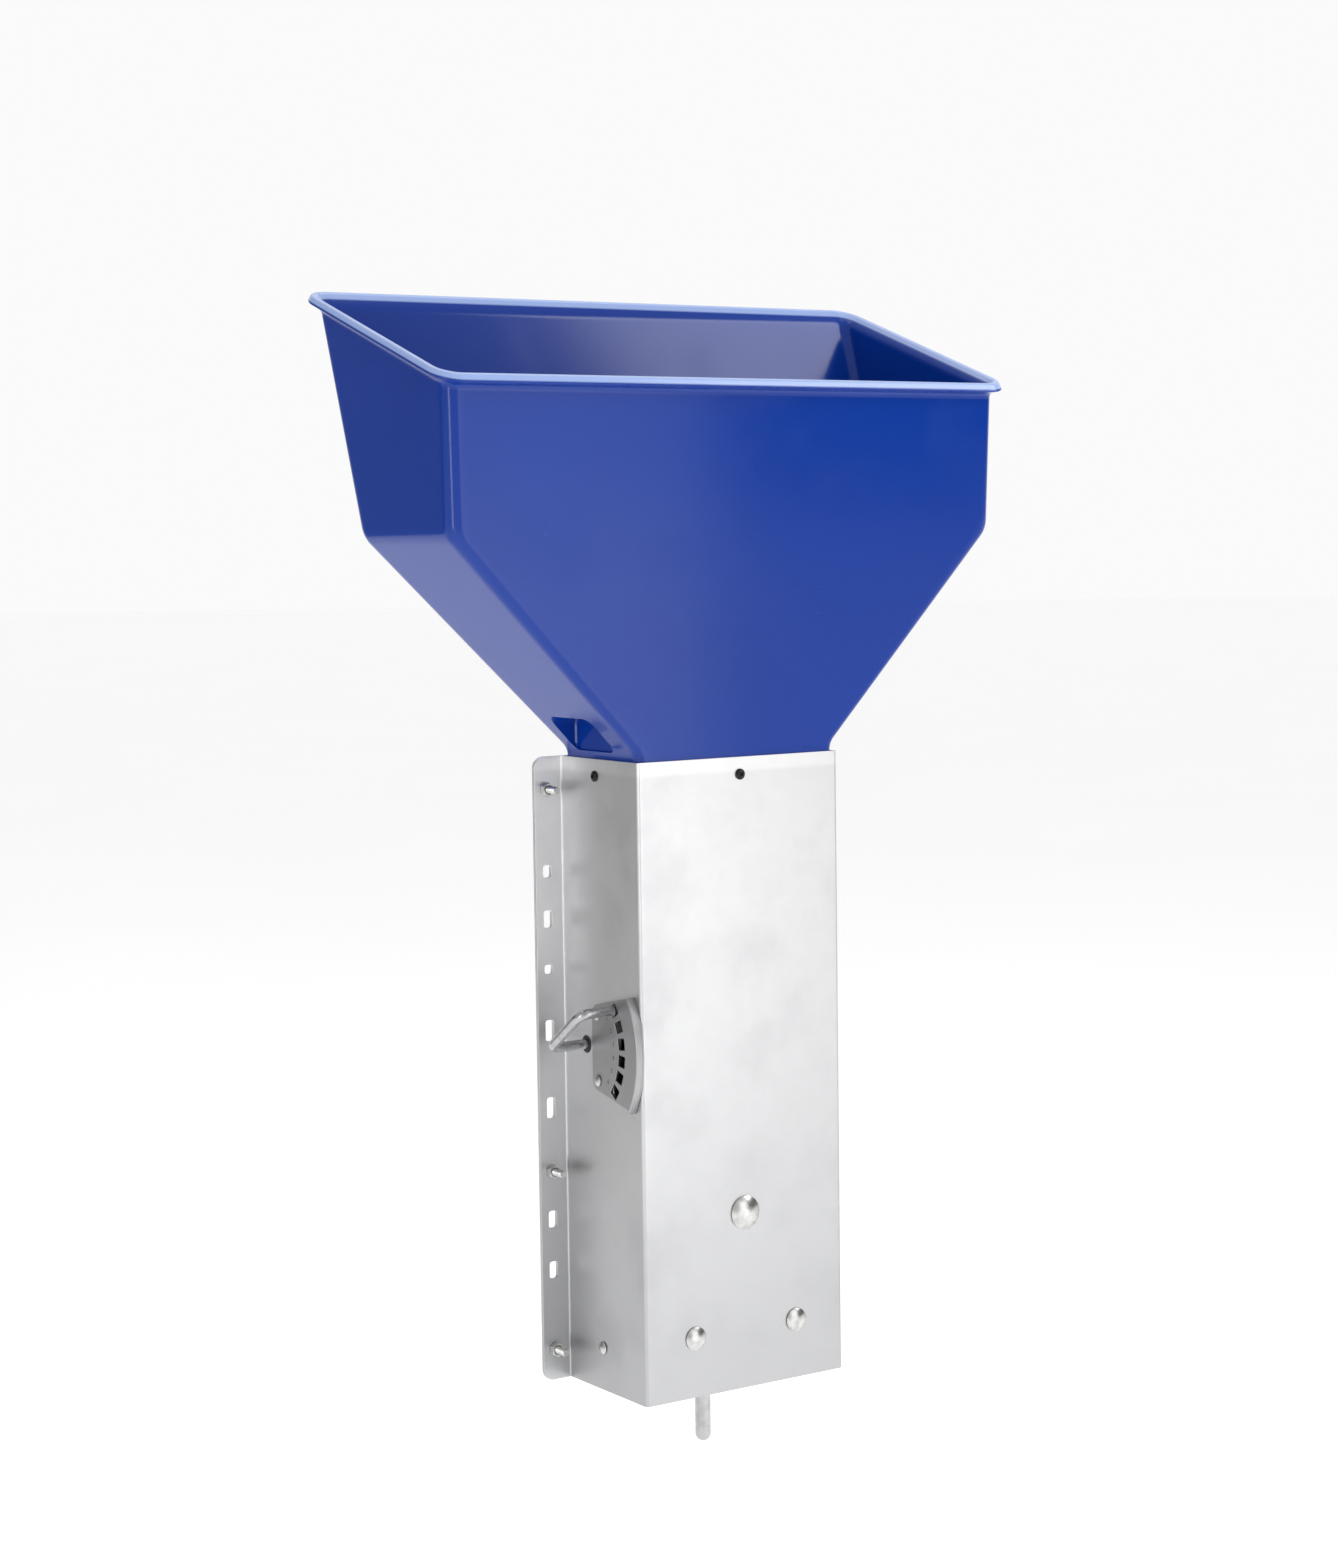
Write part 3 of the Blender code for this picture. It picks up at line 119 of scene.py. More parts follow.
class Value:
    """A shader socket that takes part in arithmetic."""

    def __init__(self, graph: "Graph", socket: bpy.types.NodeSocket) -> None:
        """Wraps a socket of a graph."""
        self.graph = graph
        self.socket = socket

    def _math(self, operation: str, first: Any, second: Any) -> "Value":
        """Adds one Math node."""
        return self.graph.node("ShaderNodeMath", {"operation": operation}, {0: first, 1: second})

    def __add__(self, other: Any) -> "Value":
        """Value + other."""
        return self._math("ADD", self, other)

    def __radd__(self, other: Any) -> "Value":
        """Other + value."""
        return self._math("ADD", other, self)

    def __mul__(self, other: Any) -> "Value":
        """Value * other."""
        return self._math("MULTIPLY", self, other)

    def __rmul__(self, other: Any) -> "Value":
        """Other * value."""
        return self._math("MULTIPLY", other, self)


class Graph:
    """Builds a node tree through one method that adds a node."""

    def __init__(self, tree: bpy.types.NodeTree) -> None:
        """Empties a node tree, ready to build in."""
        self.tree = tree
        tree.nodes.clear()

    def node(self, kind: str, settings: dict[str, Any], inputs: dict[Any, Any], output: int = 0) -> Value:
        """Adds one node.

        Args:
            kind: The node's type.
            settings: Its properties, set first.
            inputs: A number, colour, vector or Value for each input, by name or index.
            output: Which output to hand back.

        Returns:
            The chosen output.
        """
        made = self.tree.nodes.new(kind)
        for key, setting in settings.items():
            setattr(made, key, setting)
        for key, given in inputs.items():
            if isinstance(given, Value):
                self.tree.links.new(given.socket, made.inputs[key])
            else:
                made.inputs[key].default_value = given
        outputs = made.outputs
        return Value(self, outputs[output]) if len(outputs) else Value(self, made.inputs[0])

    def place(self, stretch: Sequence[float] = (1.0, 1.0, 1.0)) -> Value:
        """The point in the feeder's frame, with each axis scaled by stretch."""
        point = self.node("ShaderNodeTexCoord", {}, {}, output=3)
        return self.node("ShaderNodeVectorMath", {"operation": "MULTIPLY"}, {0: point, 1: stretch})

    def along(self, direction: Sequence[float]) -> Value:
        """How far the point lies along a direction, in metres."""
        inputs = {0: self.place(), 1: direction}
        return self.node("ShaderNodeVectorMath", {"operation": "DOT_PRODUCT"}, inputs, output=1)

    def noise(self, scale: float, detail: float = 3.0, stretch: Sequence[float] = (1, 1, 1)) -> Value:
        """Soft noise from 0 to 1, where scale is in cycles per metre."""
        inputs = {"Vector": self.place(stretch), "Scale": scale, "Detail": detail, "Roughness": 0.55}
        return self.node("ShaderNodeTexNoise", {}, inputs)

    def step(self, value: Value, low: float, high: float) -> Value:
        """A smooth rise from 0 at low to 1 at high."""
        settings = {"interpolation_type": "SMOOTHSTEP"}
        return self.node("ShaderNodeMapRange", settings, {0: value, 1: low, 2: high, 3: 0.0, 4: 1.0})

    def blend(self, factor: Value, first: Any, second: Any) -> Value:
        """A mix of two colours."""
        inputs = {0: factor, 6: first, 7: second}
        return self.node("ShaderNodeMix", {"data_type": "RGBA"}, inputs, output=2)

    def bump(
        self, height: Value, distance: float, strength: float = 1.0, under: Value | None = None
    ) -> Value:
        """A bumped normal.

        Args:
            height: The height, from 0 to 1.
            distance: What a height of 1 stands for, in metres.
            strength: How much of the bump shows.
            under: A normal that it is laid over.

        Returns:
            The normal.
        """
        inputs: dict[Any, Any] = {"Height": height, "Distance": distance, "Strength": strength}
        if under:
            inputs["Normal"] = under
        return self.node("ShaderNodeBump", {}, inputs)

    def principled(self, inputs: dict[str, Any]) -> Value:
        """A Principled shader with some of its inputs set."""
        return self.node("ShaderNodeBsdfPrincipled", {}, inputs)


class Finish:
    """A finish that builds one material, and hands back the same one each time."""

    name = "finish"

    def shade(self, graph: Graph) -> Value:
        """Adds the nodes to a graph and hands back the shader."""
        raise NotImplementedError

    def material(self) -> bpy.types.Material:
        """The finish's material, built on first use."""
        label = f"{self.name}_finish"
        found = bpy.data.materials.get(label)
        if found:
            return found
        material = bpy.data.materials.new(label)
        material.use_nodes = True
        graph = Graph(material.node_tree)
        graph.node("ShaderNodeOutputMaterial", {}, {"Surface": self.shade(graph)})
        return material


@dataclass(frozen=True)
class SheetSteel(Finish):
    """Rolled stainless sheet with a fine grain, hand smudges and a slight waviness.

    Attributes:
        name: The material's name.
        light: Colour of clean metal.
        dull: Colour under a smudge.
        grain: How each axis is stretched, so that the grain runs along the smallest.
        gloss: Roughness of clean metal.
        dust: Colour towards the foot, as the sheet is made darker towards the bottom.
        dusty: Heights at which that colour is full and has gone.
        clean: Colour of a painted highlight, a paler strip along the top of the sheet.
        band: Heights at which that strip starts and is complete.
        cleaned: How much of the highlight colour the strip has.
        smudging: How much of the dull colour the smudges have.
        mottling: How much of the dull colour the mottle has.
        wave_depth: Depth of the waviness.
        grain_depth: Depth of the grain.
    """

    name: str = "sheet_steel"
    light: Colour = (0.78, 0.78, 0.785, 1)
    dull: Colour = (0.66, 0.662, 0.67, 1)
    grain: tuple[float, float, float] = (1.0, 1.0, 0.02)
    gloss: float = 0.30
    dust: Colour = (0.49, 0.492, 0.50, 1)
    dusty: tuple[float, float] = (-0.30, 0.24)
    clean: Colour = (0.93, 0.93, 0.93, 1)
    band: tuple[float, float] = (0.2370, 0.2415)
    cleaned: float = 0.45
    smudging: float = 0.40
    mottling: float = 0.50
    wave_depth: float = 0.0008
    grain_depth: float = 0.00001

    def shade(self, graph: Graph) -> Value:
        """Adds the nodes.

        Args:
            graph: Where they go.

        Returns:
            The shader.
        """
        height = graph.along((0, 0, 1))
        lines = graph.noise(1400, 2, self.grain)
        smudges = graph.step(graph.noise(16, 6), 0.42, 0.72)
        mottle = graph.noise(70, 4)
        wave = graph.noise(5, 1)
        rough = self.gloss + 0.09 * smudges + 0.08 * mottle + 0.05 * lines
        wavy = graph.bump(wave, self.wave_depth)
        metal = graph.blend(self.smudging * smudges + self.mottling * mottle, self.light, self.dull)
        # Darker towards the bottom of the sheet.
        low_toned = graph.blend(graph.step(height, *self.dusty), self.dust, metal)
        inputs = {
            # Painted highlight: a paler strip along the top of the sheet.
            "Base Color": graph.blend(self.cleaned * graph.step(height, *self.band), low_toned, self.clean),
            "Metallic": 1.0,
            "Roughness": rough,
            "Normal": graph.bump(lines, self.grain_depth, under=wavy),
        }
        return graph.principled(inputs)


@dataclass(frozen=True)
class BarSteel(Finish):
    """Drawn bar and plated fixings, with faint tool marks and a bloom of dull spots.

    Attributes:
        name: The material's name.
        light: Colour of bright metal.
        dull: Colour of the duller bloom.
        gloss: Roughness of bright metal.
        marks: How many tool marks there are in a metre.
        mark_depth: Depth of a tool mark.
    """

    name: str = "bar_steel"
    light: Colour = (0.50, 0.50, 0.505, 1)
    dull: Colour = (0.42, 0.42, 0.43, 1)
    gloss: float = 0.22
    marks: float = 900.0
    mark_depth: float = 0.00001

    def shade(self, graph: Graph) -> Value:
        """Adds the nodes.

        Args:
            graph: Where they go.

        Returns:
            The shader.
        """
        bloom = graph.step(graph.noise(120, 5), 0.40, 0.75)
        marks = graph.noise(self.marks, 2)
        inputs = {
            "Base Color": graph.blend(bloom, self.light, self.dull),
            "Metallic": 1.0,
            "Roughness": self.gloss + 0.05 * bloom + 0.06 * marks,
            "Normal": graph.bump(marks, self.mark_depth),
        }
        return graph.principled(inputs)


@dataclass(frozen=True)
class GlossPlastic(Finish):
    """Glossy moulded plastic, with orange peel from the mould, scuffs and a little dust.

    Attributes:
        name: The material's name.
        deep: Colour of the body.
        pale: Colour where it has faded a little.
        scuff: Colour of scuffs and dust.
        gloss: Roughness where it is clean.
        trim: Colour of a painted highlight along the rim's edge.
        rim_way: Direction across the rim's plane, over its upward part.
        rim_from: How far along that direction the edge starts.
        rim_soft: How far beyond that it is complete.
        peel_depth: Depth of the orange peel.
        index: Refractive index.
    """

    name: str = "hopper_plastic"
    deep: Colour = (0.0006, 0.028, 0.255, 1)
    pale: Colour = (0.0012, 0.043, 0.335, 1)
    scuff: Colour = (0.16, 0.24, 0.46, 1)
    gloss: float = 0.13
    trim: Colour = (0.34, 0.46, 0.80, 1)
    rim_way: tuple[float, float, float] = (0.0, -0.345, 1.0)
    rim_from: float = 0.5790
    rim_soft: float = 0.0015
    peel_depth: float = 0.00003
    index: float = 1.44

    def shade(self, graph: Graph) -> Value:
        """Adds the nodes.

        Args:
            graph: Where they go.

        Returns:
            The shader.
        """
        # Painted highlight: a paler strip along the rim's edge, set by its place.
        edge = graph.step(graph.along(self.rim_way), self.rim_from, self.rim_from + self.rim_soft)
        faded = graph.noise(4, 2)
        peel = graph.noise(420, 2)
        scratches = graph.step(graph.noise(60, 3, (1.0, 1.0, 9.0)), 0.66, 0.74)
        patches = graph.step(graph.noise(9, 3), 0.48, 0.66)
        scuffed = scratches * patches
        body = graph.blend(0.06 * scuffed, graph.blend(faded, self.deep, self.pale), self.scuff)
        inputs = {
            "Base Color": graph.blend(edge, body, self.trim),
            "Roughness": self.gloss + 0.10 * scuffed + 0.05 * patches,
            "Normal": graph.bump(peel, self.peel_depth, 0.6),
            "IOR": self.index,
        }
        return graph.principled(inputs)


@dataclass(frozen=True)
class DarkFinish(Finish):
    """Black oxide on a screw, moulded nylon, or the stain in a stamped mark.

    Attributes:
        name: The material's name.
        dark: Colour of the finish.
        worn: Colour where it is rubbed.
        metallic: 1 on metal.
        gloss: Roughness.
    """

    name: str = "black_screw"
    dark: Colour = (0.012, 0.012, 0.013, 1)
    worn: Colour = (0.06, 0.06, 0.062, 1)
    metallic: float = 0.6
    gloss: float = 0.36

    def shade(self, graph: Graph) -> Value:
        """Adds the nodes.

        Args:
            graph: Where they go.

        Returns:
            The shader.
        """
        worn = graph.step(graph.noise(500, 4), 0.5, 0.8)
        inputs = {
            "Base Color": graph.blend(worn, self.dark, self.worn),
            "Metallic": self.metallic,
            "Roughness": self.gloss + 0.15 * worn,
            "Normal": graph.bump(graph.noise(1200, 2), 0.00002),
        }
        return graph.principled(inputs)


@dataclass(frozen=True)
class PaleFloor(Finish):
    """A plain pale studio floor, with a glow that keeps the horizon from showing.

    Attributes:
        name: The material's name.
        pale: Its colour.
        shade_tone: Colour of its softly darker patches.
        glow: Strength of the glow.
    """

    name: str = "pale_floor"
    pale: Colour = (0.93, 0.93, 0.93, 1)
    shade_tone: Colour = (0.90, 0.90, 0.905, 1)
    glow: float = 0.42

    def shade(self, graph: Graph) -> Value:
        """Adds the nodes.

        Args:
            graph: Where they go.

        Returns:
            The shader.
        """
        soft = graph.noise(1.5, 2)
        inputs = {
            "Base Color": graph.blend(soft, self.pale, self.shade_tone),
            "Roughness": 0.65 + 0.1 * soft,
            "Emission Color": self.pale,
            "Emission Strength": self.glow,
        }
        return graph.principled(inputs)


class Slot(Enum):
    """The record's material slots, each with its finish."""

    SHEET = SheetSteel()
    BAR = BarSteel()
    PLATED = BarSteel("plated_fixings", (0.66, 0.66, 0.645, 1), (0.44, 0.44, 0.43, 1), 0.24, 1500.0)
    PLASTIC = GlossPlastic()
    SCREW = DarkFinish()
    NYLON = DarkFinish("black_nylon", (0.02, 0.02, 0.021, 1), (0.05, 0.05, 0.05, 1), 0.0, 0.42)


SECTOR = SheetSteel("index_steel", (0.42, 0.42, 0.425, 1), (0.26, 0.26, 0.265, 1), (1.0, 1.0, 1.0), 0.34)
STAMPED = DarkFinish("stamped_mark", (0.10, 0.10, 0.10, 1), (0.20, 0.20, 0.20, 1), 0.7, 0.5)


# Mesh work ----------------------------------------------------------------------


class Facing(Enum):
    """Which way local +Z points once a piece is in place."""

    FRONT = (math.pi / 2, "X")
    REAR = (-math.pi / 2, "X")
    LEFT = (-math.pi / 2, "Y")
    RIGHT = (math.pi / 2, "Y")

    def at(self, x: float, y: float, z: float) -> Matrix:
        """The matrix that turns +Z to this direction and moves the origin to a point."""
        return Matrix.Translation((x, y, z)) @ Matrix.Rotation(self.value[0], 4, self.value[1])


# Turns a flat plate so that its local X and Y point along world Y and Z.
ON_SIDE = Matrix.Rotation(math.pi / 2, 4, "Z") @ Matrix.Rotation(math.pi / 2, 4, "X")


def polar(radius: float, degrees: float, centre: Point = (0.0, 0.0)) -> Point:
    """A point at a radius and an angle around a centre."""
    turn = math.radians(degrees)
    return centre[0] + radius * math.cos(turn), centre[1] + radius * math.sin(turn)


def arc(radius: float, start: float, end: float, steps: int, centre: Point = (0.0, 0.0)) -> Loop:
    """Points along an arc, with its angles in degrees."""
    return [polar(radius, start + (end - start) * step / steps, centre) for step in range(steps + 1)]


def circle(centre: Point, radius: float, steps: int = 40) -> Loop:
    """A round outline."""
    return arc(radius, 0, 360, steps, centre)[:-1]


def rounded_box(low: Sequence[float], high: Sequence[float], radius: float, steps: int = 6) -> Loop:
    """A rectangle with rounded corners.

    Args:
        low: Its lower left corner.
        high: Its upper right corner.
        radius: Corner radius.
        steps: Segments in a corner.

    Returns:
        Its outline, anticlockwise.
    """
    (left, bottom), (right, top) = low, high
    corners = ((right, top, 0), (left, top, 90), (left, bottom, 180), (right, bottom, 270))
    loop: Loop = []
    for x, y, start in corners:
        centre = (x - radius if x == right else x + radius, y - radius if y == top else y + radius)
        loop += arc(radius, start, start + 90, steps, centre)
    return loop


class Form:
    """A mesh in the making, in the feeder's frame and in metres."""

    def __init__(self) -> None:
        """Starts an empty form."""
        self.mesh = bmesh.new()

    def bridge(self, first: list, second: list) -> None:
        """Joins two rings with faces.

        Args:
            first: One ring's vertices. A ring of one vertex is a pole.
            second: The other ring's vertices.
        """
        for step in range(max(len(first), len(second))):
            after = step + 1
            corners = [first[step % len(first)], first[after % len(first)]]
            corners += [second[after % len(second)], second[step % len(second)]]
            corners = list(dict.fromkeys(corners))
            if len(corners) > 2:
                self.mesh.faces.new(corners)

    def turned(self, profile: Profile, place: Matrix, steps: int = 48, closed: bool = False) -> "Form":
        """Turns a profile of (radius, height) about local Z.

        Args:
            profile: The points. Either number may be a function of the angle, as on a hexagon.
            place: Where local Z goes.
            steps: Segments around.
            closed: Joins the last point to the first, as a ring with a bore needs.

        Returns:
            This form.
        """
        rings = []
        for radius, height in profile:
            turns = [2 * math.pi * step / steps for step in range(1 if radius == 0 else steps)]
            ring = []
            for turn in turns:
                reach = measured(radius, turn)
                point = Vector((reach * math.cos(turn), reach * math.sin(turn), measured(height, turn)))
                ring.append(self.mesh.verts.new(place @ point))
            rings.append(ring)
        for first, second in zip(rings, rings[1:] + (rings[:1] if closed else [])):
            self.bridge(first, second)
        return self

    def swept(self, stations: Sequence[tuple[Vector, float]], steps: int = 32) -> "Form":
        """A round bar with flat ends.

        Args:
            stations: Each point of its centreline and the radius there.
            steps: Segments around.

        Returns:
            This form.
        """
        points = [point for point, _ in stations]
        side = (points[1] - points[0]).orthogonal()
        rings = []
        for index, (centre, radius) in enumerate(stations):
            along = (points[min(index + 1, len(points) - 1)] - points[max(index - 1, 0)]).normalized()
            side = (side - along * side.dot(along)).normalized()
            other = along.cross(side)
            turns = [2 * math.pi * step / steps for step in range(steps)]
            around = [centre + radius * (math.cos(t) * side + math.sin(t) * other) for t in turns]
            rings.append([self.mesh.verts.new(point) for point in around])
        for first, second in zip(rings, rings[1:]):
            self.bridge(first, second)
        self.mesh.faces.new(rings[0])
        self.mesh.faces.new(rings[-1])
        return self

    def plate(self, outline: Loop, holes: Sequence[Loop], thickness: float, edge: float) -> "Form":
        """A flat plate in local XY, centred on its thickness.

        Args:
            outline: Its outline.
            holes: The outline of each hole.
            thickness: Its thickness.
            edge: Chamfer on every edge.

        Returns:
            This form.
        """
        loops = [wound(outline, True)] + [wound(hole, False) for hole in holes]
        inner = [inset(loop, edge) for loop in loops]
        half = thickness / 2
        levels = ((inner, half), (loops, half - edge), (loops, edge - half), (inner, -half))
        new = self.mesh.verts.new
        rows = [[[new((*point, z)) for point in loop] for loop in group] for group, z in levels]
        for upper, lower in zip(rows, rows[1:]):
            for first, second in zip(upper, lower):
                self.bridge(first, second)
        flat_loops = [[Vector((*point, 0)) for point in loop] for loop in inner]
        triangles = geometry.tessellate_polygon(flat_loops)
        for row in (rows[0], rows[-1]):
            flat = [vert for loop in row for vert in loop]
            for corners in triangles:
                self.mesh.faces.new([flat[corner] for corner in corners])
        return self

    def moved(self, place: Matrix) -> "Form":
        """Moves everything made so far."""
        self.mesh.transform(place)
        return self

    def done(self, name: str, sharp: float = 32.0) -> bpy.types.Mesh:
        """Closes the form into a mesh.

        Args:
            name: The mesh's name.
            sharp: Angle in degrees over which an edge stays sharp.

        Returns:
            The mesh.
        """
        bmesh.ops.remove_doubles(self.mesh, verts=self.mesh.verts, dist=1e-7)
        bmesh.ops.recalc_face_normals(self.mesh, faces=self.mesh.faces)
        made = bpy.data.meshes.new(name)
        self.mesh.to_mesh(made)
        self.mesh.free()
        return smoothed(made, sharp)


def smoothed(mesh: bpy.types.Mesh, sharp: float) -> bpy.types.Mesh:
    """Shades a mesh smooth, with edges over an angle in degrees kept sharp, and hands it back."""
    mesh.shade_smooth()
    mesh.set_sharp_from_angle(angle=math.radians(sharp))
    return mesh


def wound(loop: Loop, anticlockwise: bool) -> Loop:
    """The loop, turned round where it runs the wrong way."""
    area = sum(x * v - u * y for (x, y), (u, v) in zip(loop, loop[1:] + loop[:1]))
    return loop if (area > 0) == anticlockwise else loop[::-1]


def inset(loop: Loop, distance: float) -> Loop:
    """Moves a loop into the material.

    Args:
        loop: The loop, with the material on its left.
        distance: How far it moves.

    Returns:
        The moved loop.
    """
    moved: Loop = []
    for before, here, after in zip(loop[-1:] + loop[:-1], loop, loop[1:] + loop[:1]):
        first = (Vector(here) - Vector(before)).normalized()
        second = (Vector(after) - Vector(here)).normalized()
        lean = Vector((-first.y - second.y, first.x + second.x)) / (1 + first.dot(second))
        moved.append((here[0] + distance * lean.x, here[1] + distance * lean.y))
    return moved


def rounded_path(corners: Sequence[Vector], radius: float, steps: int = 12) -> list[Vector]:
    """A path through corners, with each inner one rounded.

    Args:
        corners: The path's ends and the sharp corners between them.
        radius: Bend radius.
        steps: Segments in a bend.

    Returns:
        The path's points.
    """
    path = [corners[0]]
    for before, corner, after in zip(corners, corners[1:], corners[2:]):
        back, ahead = (before - corner).normalized(), (after - corner).normalized()
        half = back.angle(ahead) / 2
        reach = radius / math.tan(half)
        centre = corner + (back + ahead).normalized() * radius / math.sin(half)
        start, end = corner + back * reach - centre, corner + ahead * reach - centre
        whole = start.angle(end)
        for step in range(steps + 1):
            share = step / steps
            weights = (math.sin((1 - share) * whole), math.sin(share * whole))
            path.append(centre + (start * weights[0] + end * weights[1]) / math.sin(whole))
    return path + [corners[-1]]


def evaluated(obj: bpy.types.Object, name: str) -> bpy.types.Mesh:
    """Applies an object's modifiers and removes the object.

    Args:
        obj: The object.
        name: A name for its mesh.

    Returns:
        The mesh.
    """
    bpy.context.view_layer.update()
    graph = bpy.context.evaluated_depsgraph_get()
    mesh = bpy.data.meshes.new_from_object(obj.evaluated_get(graph))
    mesh.name = name
    bpy.data.objects.remove(obj, do_unlink=True)
    return mesh


def stand(name: str, data: Any) -> bpy.types.Object:
    """Links an object for some data."""
    made = bpy.data.objects.new(name, data)
    bpy.context.scene.collection.objects.link(made)
    return made


def carve(mesh: bpy.types.Mesh, tools: Sequence[tuple[str, bpy.types.Mesh]]) -> bpy.types.Mesh:
    """Applies Booleans to a mesh.

    Args:
        mesh: The mesh to cut, which is used up.
        tools: Each operation and its tool's mesh, in order.

    Returns:
        The finished mesh.
    """
    blank = stand(mesh.name, mesh)
    helpers = []
    for operation, tool_mesh in tools:
        tool = stand(tool_mesh.name, tool_mesh)
        boolean = blank.modifiers.new(tool.name, "BOOLEAN")
        boolean.operation = operation
        boolean.solver = "EXACT"
        boolean.object = tool
        helpers.append(tool)
    made = evaluated(blank, mesh.name)
    for tool in helpers:
        bpy.data.objects.remove(tool, do_unlink=True)
    return made


# Pieces -------------------------------------------------------------------------


@dataclass
class Assembly:
    """A sub-assembly that adds its pieces to the frame.

    Attributes:
        frame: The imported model.
    """

    frame: dict[str, Any]

    def body_of(self, node: str) -> str:
        """The body that a CAD node belongs to."""
        bodies = self.frame["record"]["behaviour"]["bodies"]
        return next(body for body, nodes in bodies.items() if node in nodes)

    def add(
        self, mesh: bpy.types.Mesh, slot: Slot, *nodes: str, finish: Finish | None = None
    ) -> bpy.types.Object:
        """Puts a piece on the first node's body, in place of the nodes.

        Args:
            mesh: The piece's mesh, which also names it.
            slot: Its material slot.
            nodes: The CAD nodes that it replaces.
            finish: Its finish, where that isn't the slot's own.

        Returns:
            The piece.
        """
        piece = stand(mesh.name, mesh)
        mesh.materials.clear()
        mesh.materials.append((finish or slot.value).material())
        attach(piece, self.body_of(nodes[0]))
        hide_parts(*nodes)
        LOG.info("%s: %d faces, in place of %s", piece.name, len(mesh.polygons), ", ".join(nodes))
        return piece

    def dress(self, slot: Slot, nodes: Sequence[str], edge: float = 0.0004) -> None:
        """Gives kept CAD nodes a finish and softened edges.

        Args:
            slot: Their material slot.
            nodes: The nodes.
            edge: Width of the softened edge.
        """
        for node in nodes:
            kept = self.frame["nodes"][node]
            for place in kept.material_slots:
                place.link = "OBJECT"
                place.material = slot.value.material()
            soft = kept.modifiers.new("Edges", "BEVEL")
            soft.width = edge
            soft.segments = 2
            soft.limit_method = "ANGLE"
            soft.angle_limit = math.radians(40)
            soft.harden_normals = True
            LOG.info("%s: kept, in %s", node, slot.value.name)


def corners_of(node: str) -> tuple[Vector, Vector]:
    """The low and high corners of a CAD node's box."""
    low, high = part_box(node)
    return Vector(low), Vector(high)


def middle(node: str) -> Vector:
    """The middle of a CAD node's box."""
    low, high = corners_of(node)
    return (low + high) / 2


@dataclass(frozen=True)
class FoldLine:
    """The middle line of a folded sheet, seen from above.

    Attributes:
        corners: Its ends and the sharp corners between them.
        radius: The bend radius at the middle of the sheet.
    """

    corners: tuple[Vector, ...]
    radius: float

    def station(self, leg: int, along: float) -> float:
        """How far along the flat sheet a point is.

        Args:
            leg: The leg that it is on.
            along: Its distance from the corner where that leg starts.

        Returns:
            Its station.
        """
        start = 0.0
        for index in range(leg):
            length = (self.corners[index + 1] - self.corners[index]).length
            start += length - self.radius * (1 if index == 0 else 2) + self.radius * math.pi / 2
        return start + along - (self.radius if leg else 0.0)

    def bends(self) -> list[tuple[float, float]]:
        """Where each bend starts and ends along the flat sheet."""
        last = len(self.corners) - 2
        ends = [self.station(leg + 1, self.radius) for leg in range(last)]
        return [(end - self.radius * math.pi / 2, end) for end in ends]

    def length(self) -> float:
        """Length of the flat sheet."""
        last = len(self.corners) - 2
        return self.station(last, (self.corners[-1] - self.corners[-2]).length)

    def locate(self, station: float) -> tuple[Vector, Vector]:
        """Finds a station on the folded sheet.

        Args:
            station: How far along the flat sheet it is.

        Returns:
            Its place, and the direction that the sheet runs there.
        """
        for leg, (start, end) in enumerate(self.bends()):
            before = (self.corners[leg + 1] - self.corners[leg]).normalized()
            after = (self.corners[leg + 2] - self.corners[leg + 1]).normalized()
            if station > end:
                continue
            if station < start:
                return self.corners[leg + 1] - before * (self.radius + start - station), before
            turn = (station - start) / self.radius
            base = self.corners[leg + 1] - before * self.radius
            point = base + self.radius * (before * math.sin(turn) + after * (1 - math.cos(turn)))
            return point, before * math.cos(turn) + after * math.sin(turn)
        ahead = (self.corners[-1] - self.corners[-2]).normalized()
        return self.corners[-1] - ahead * (self.length() - station), ahead


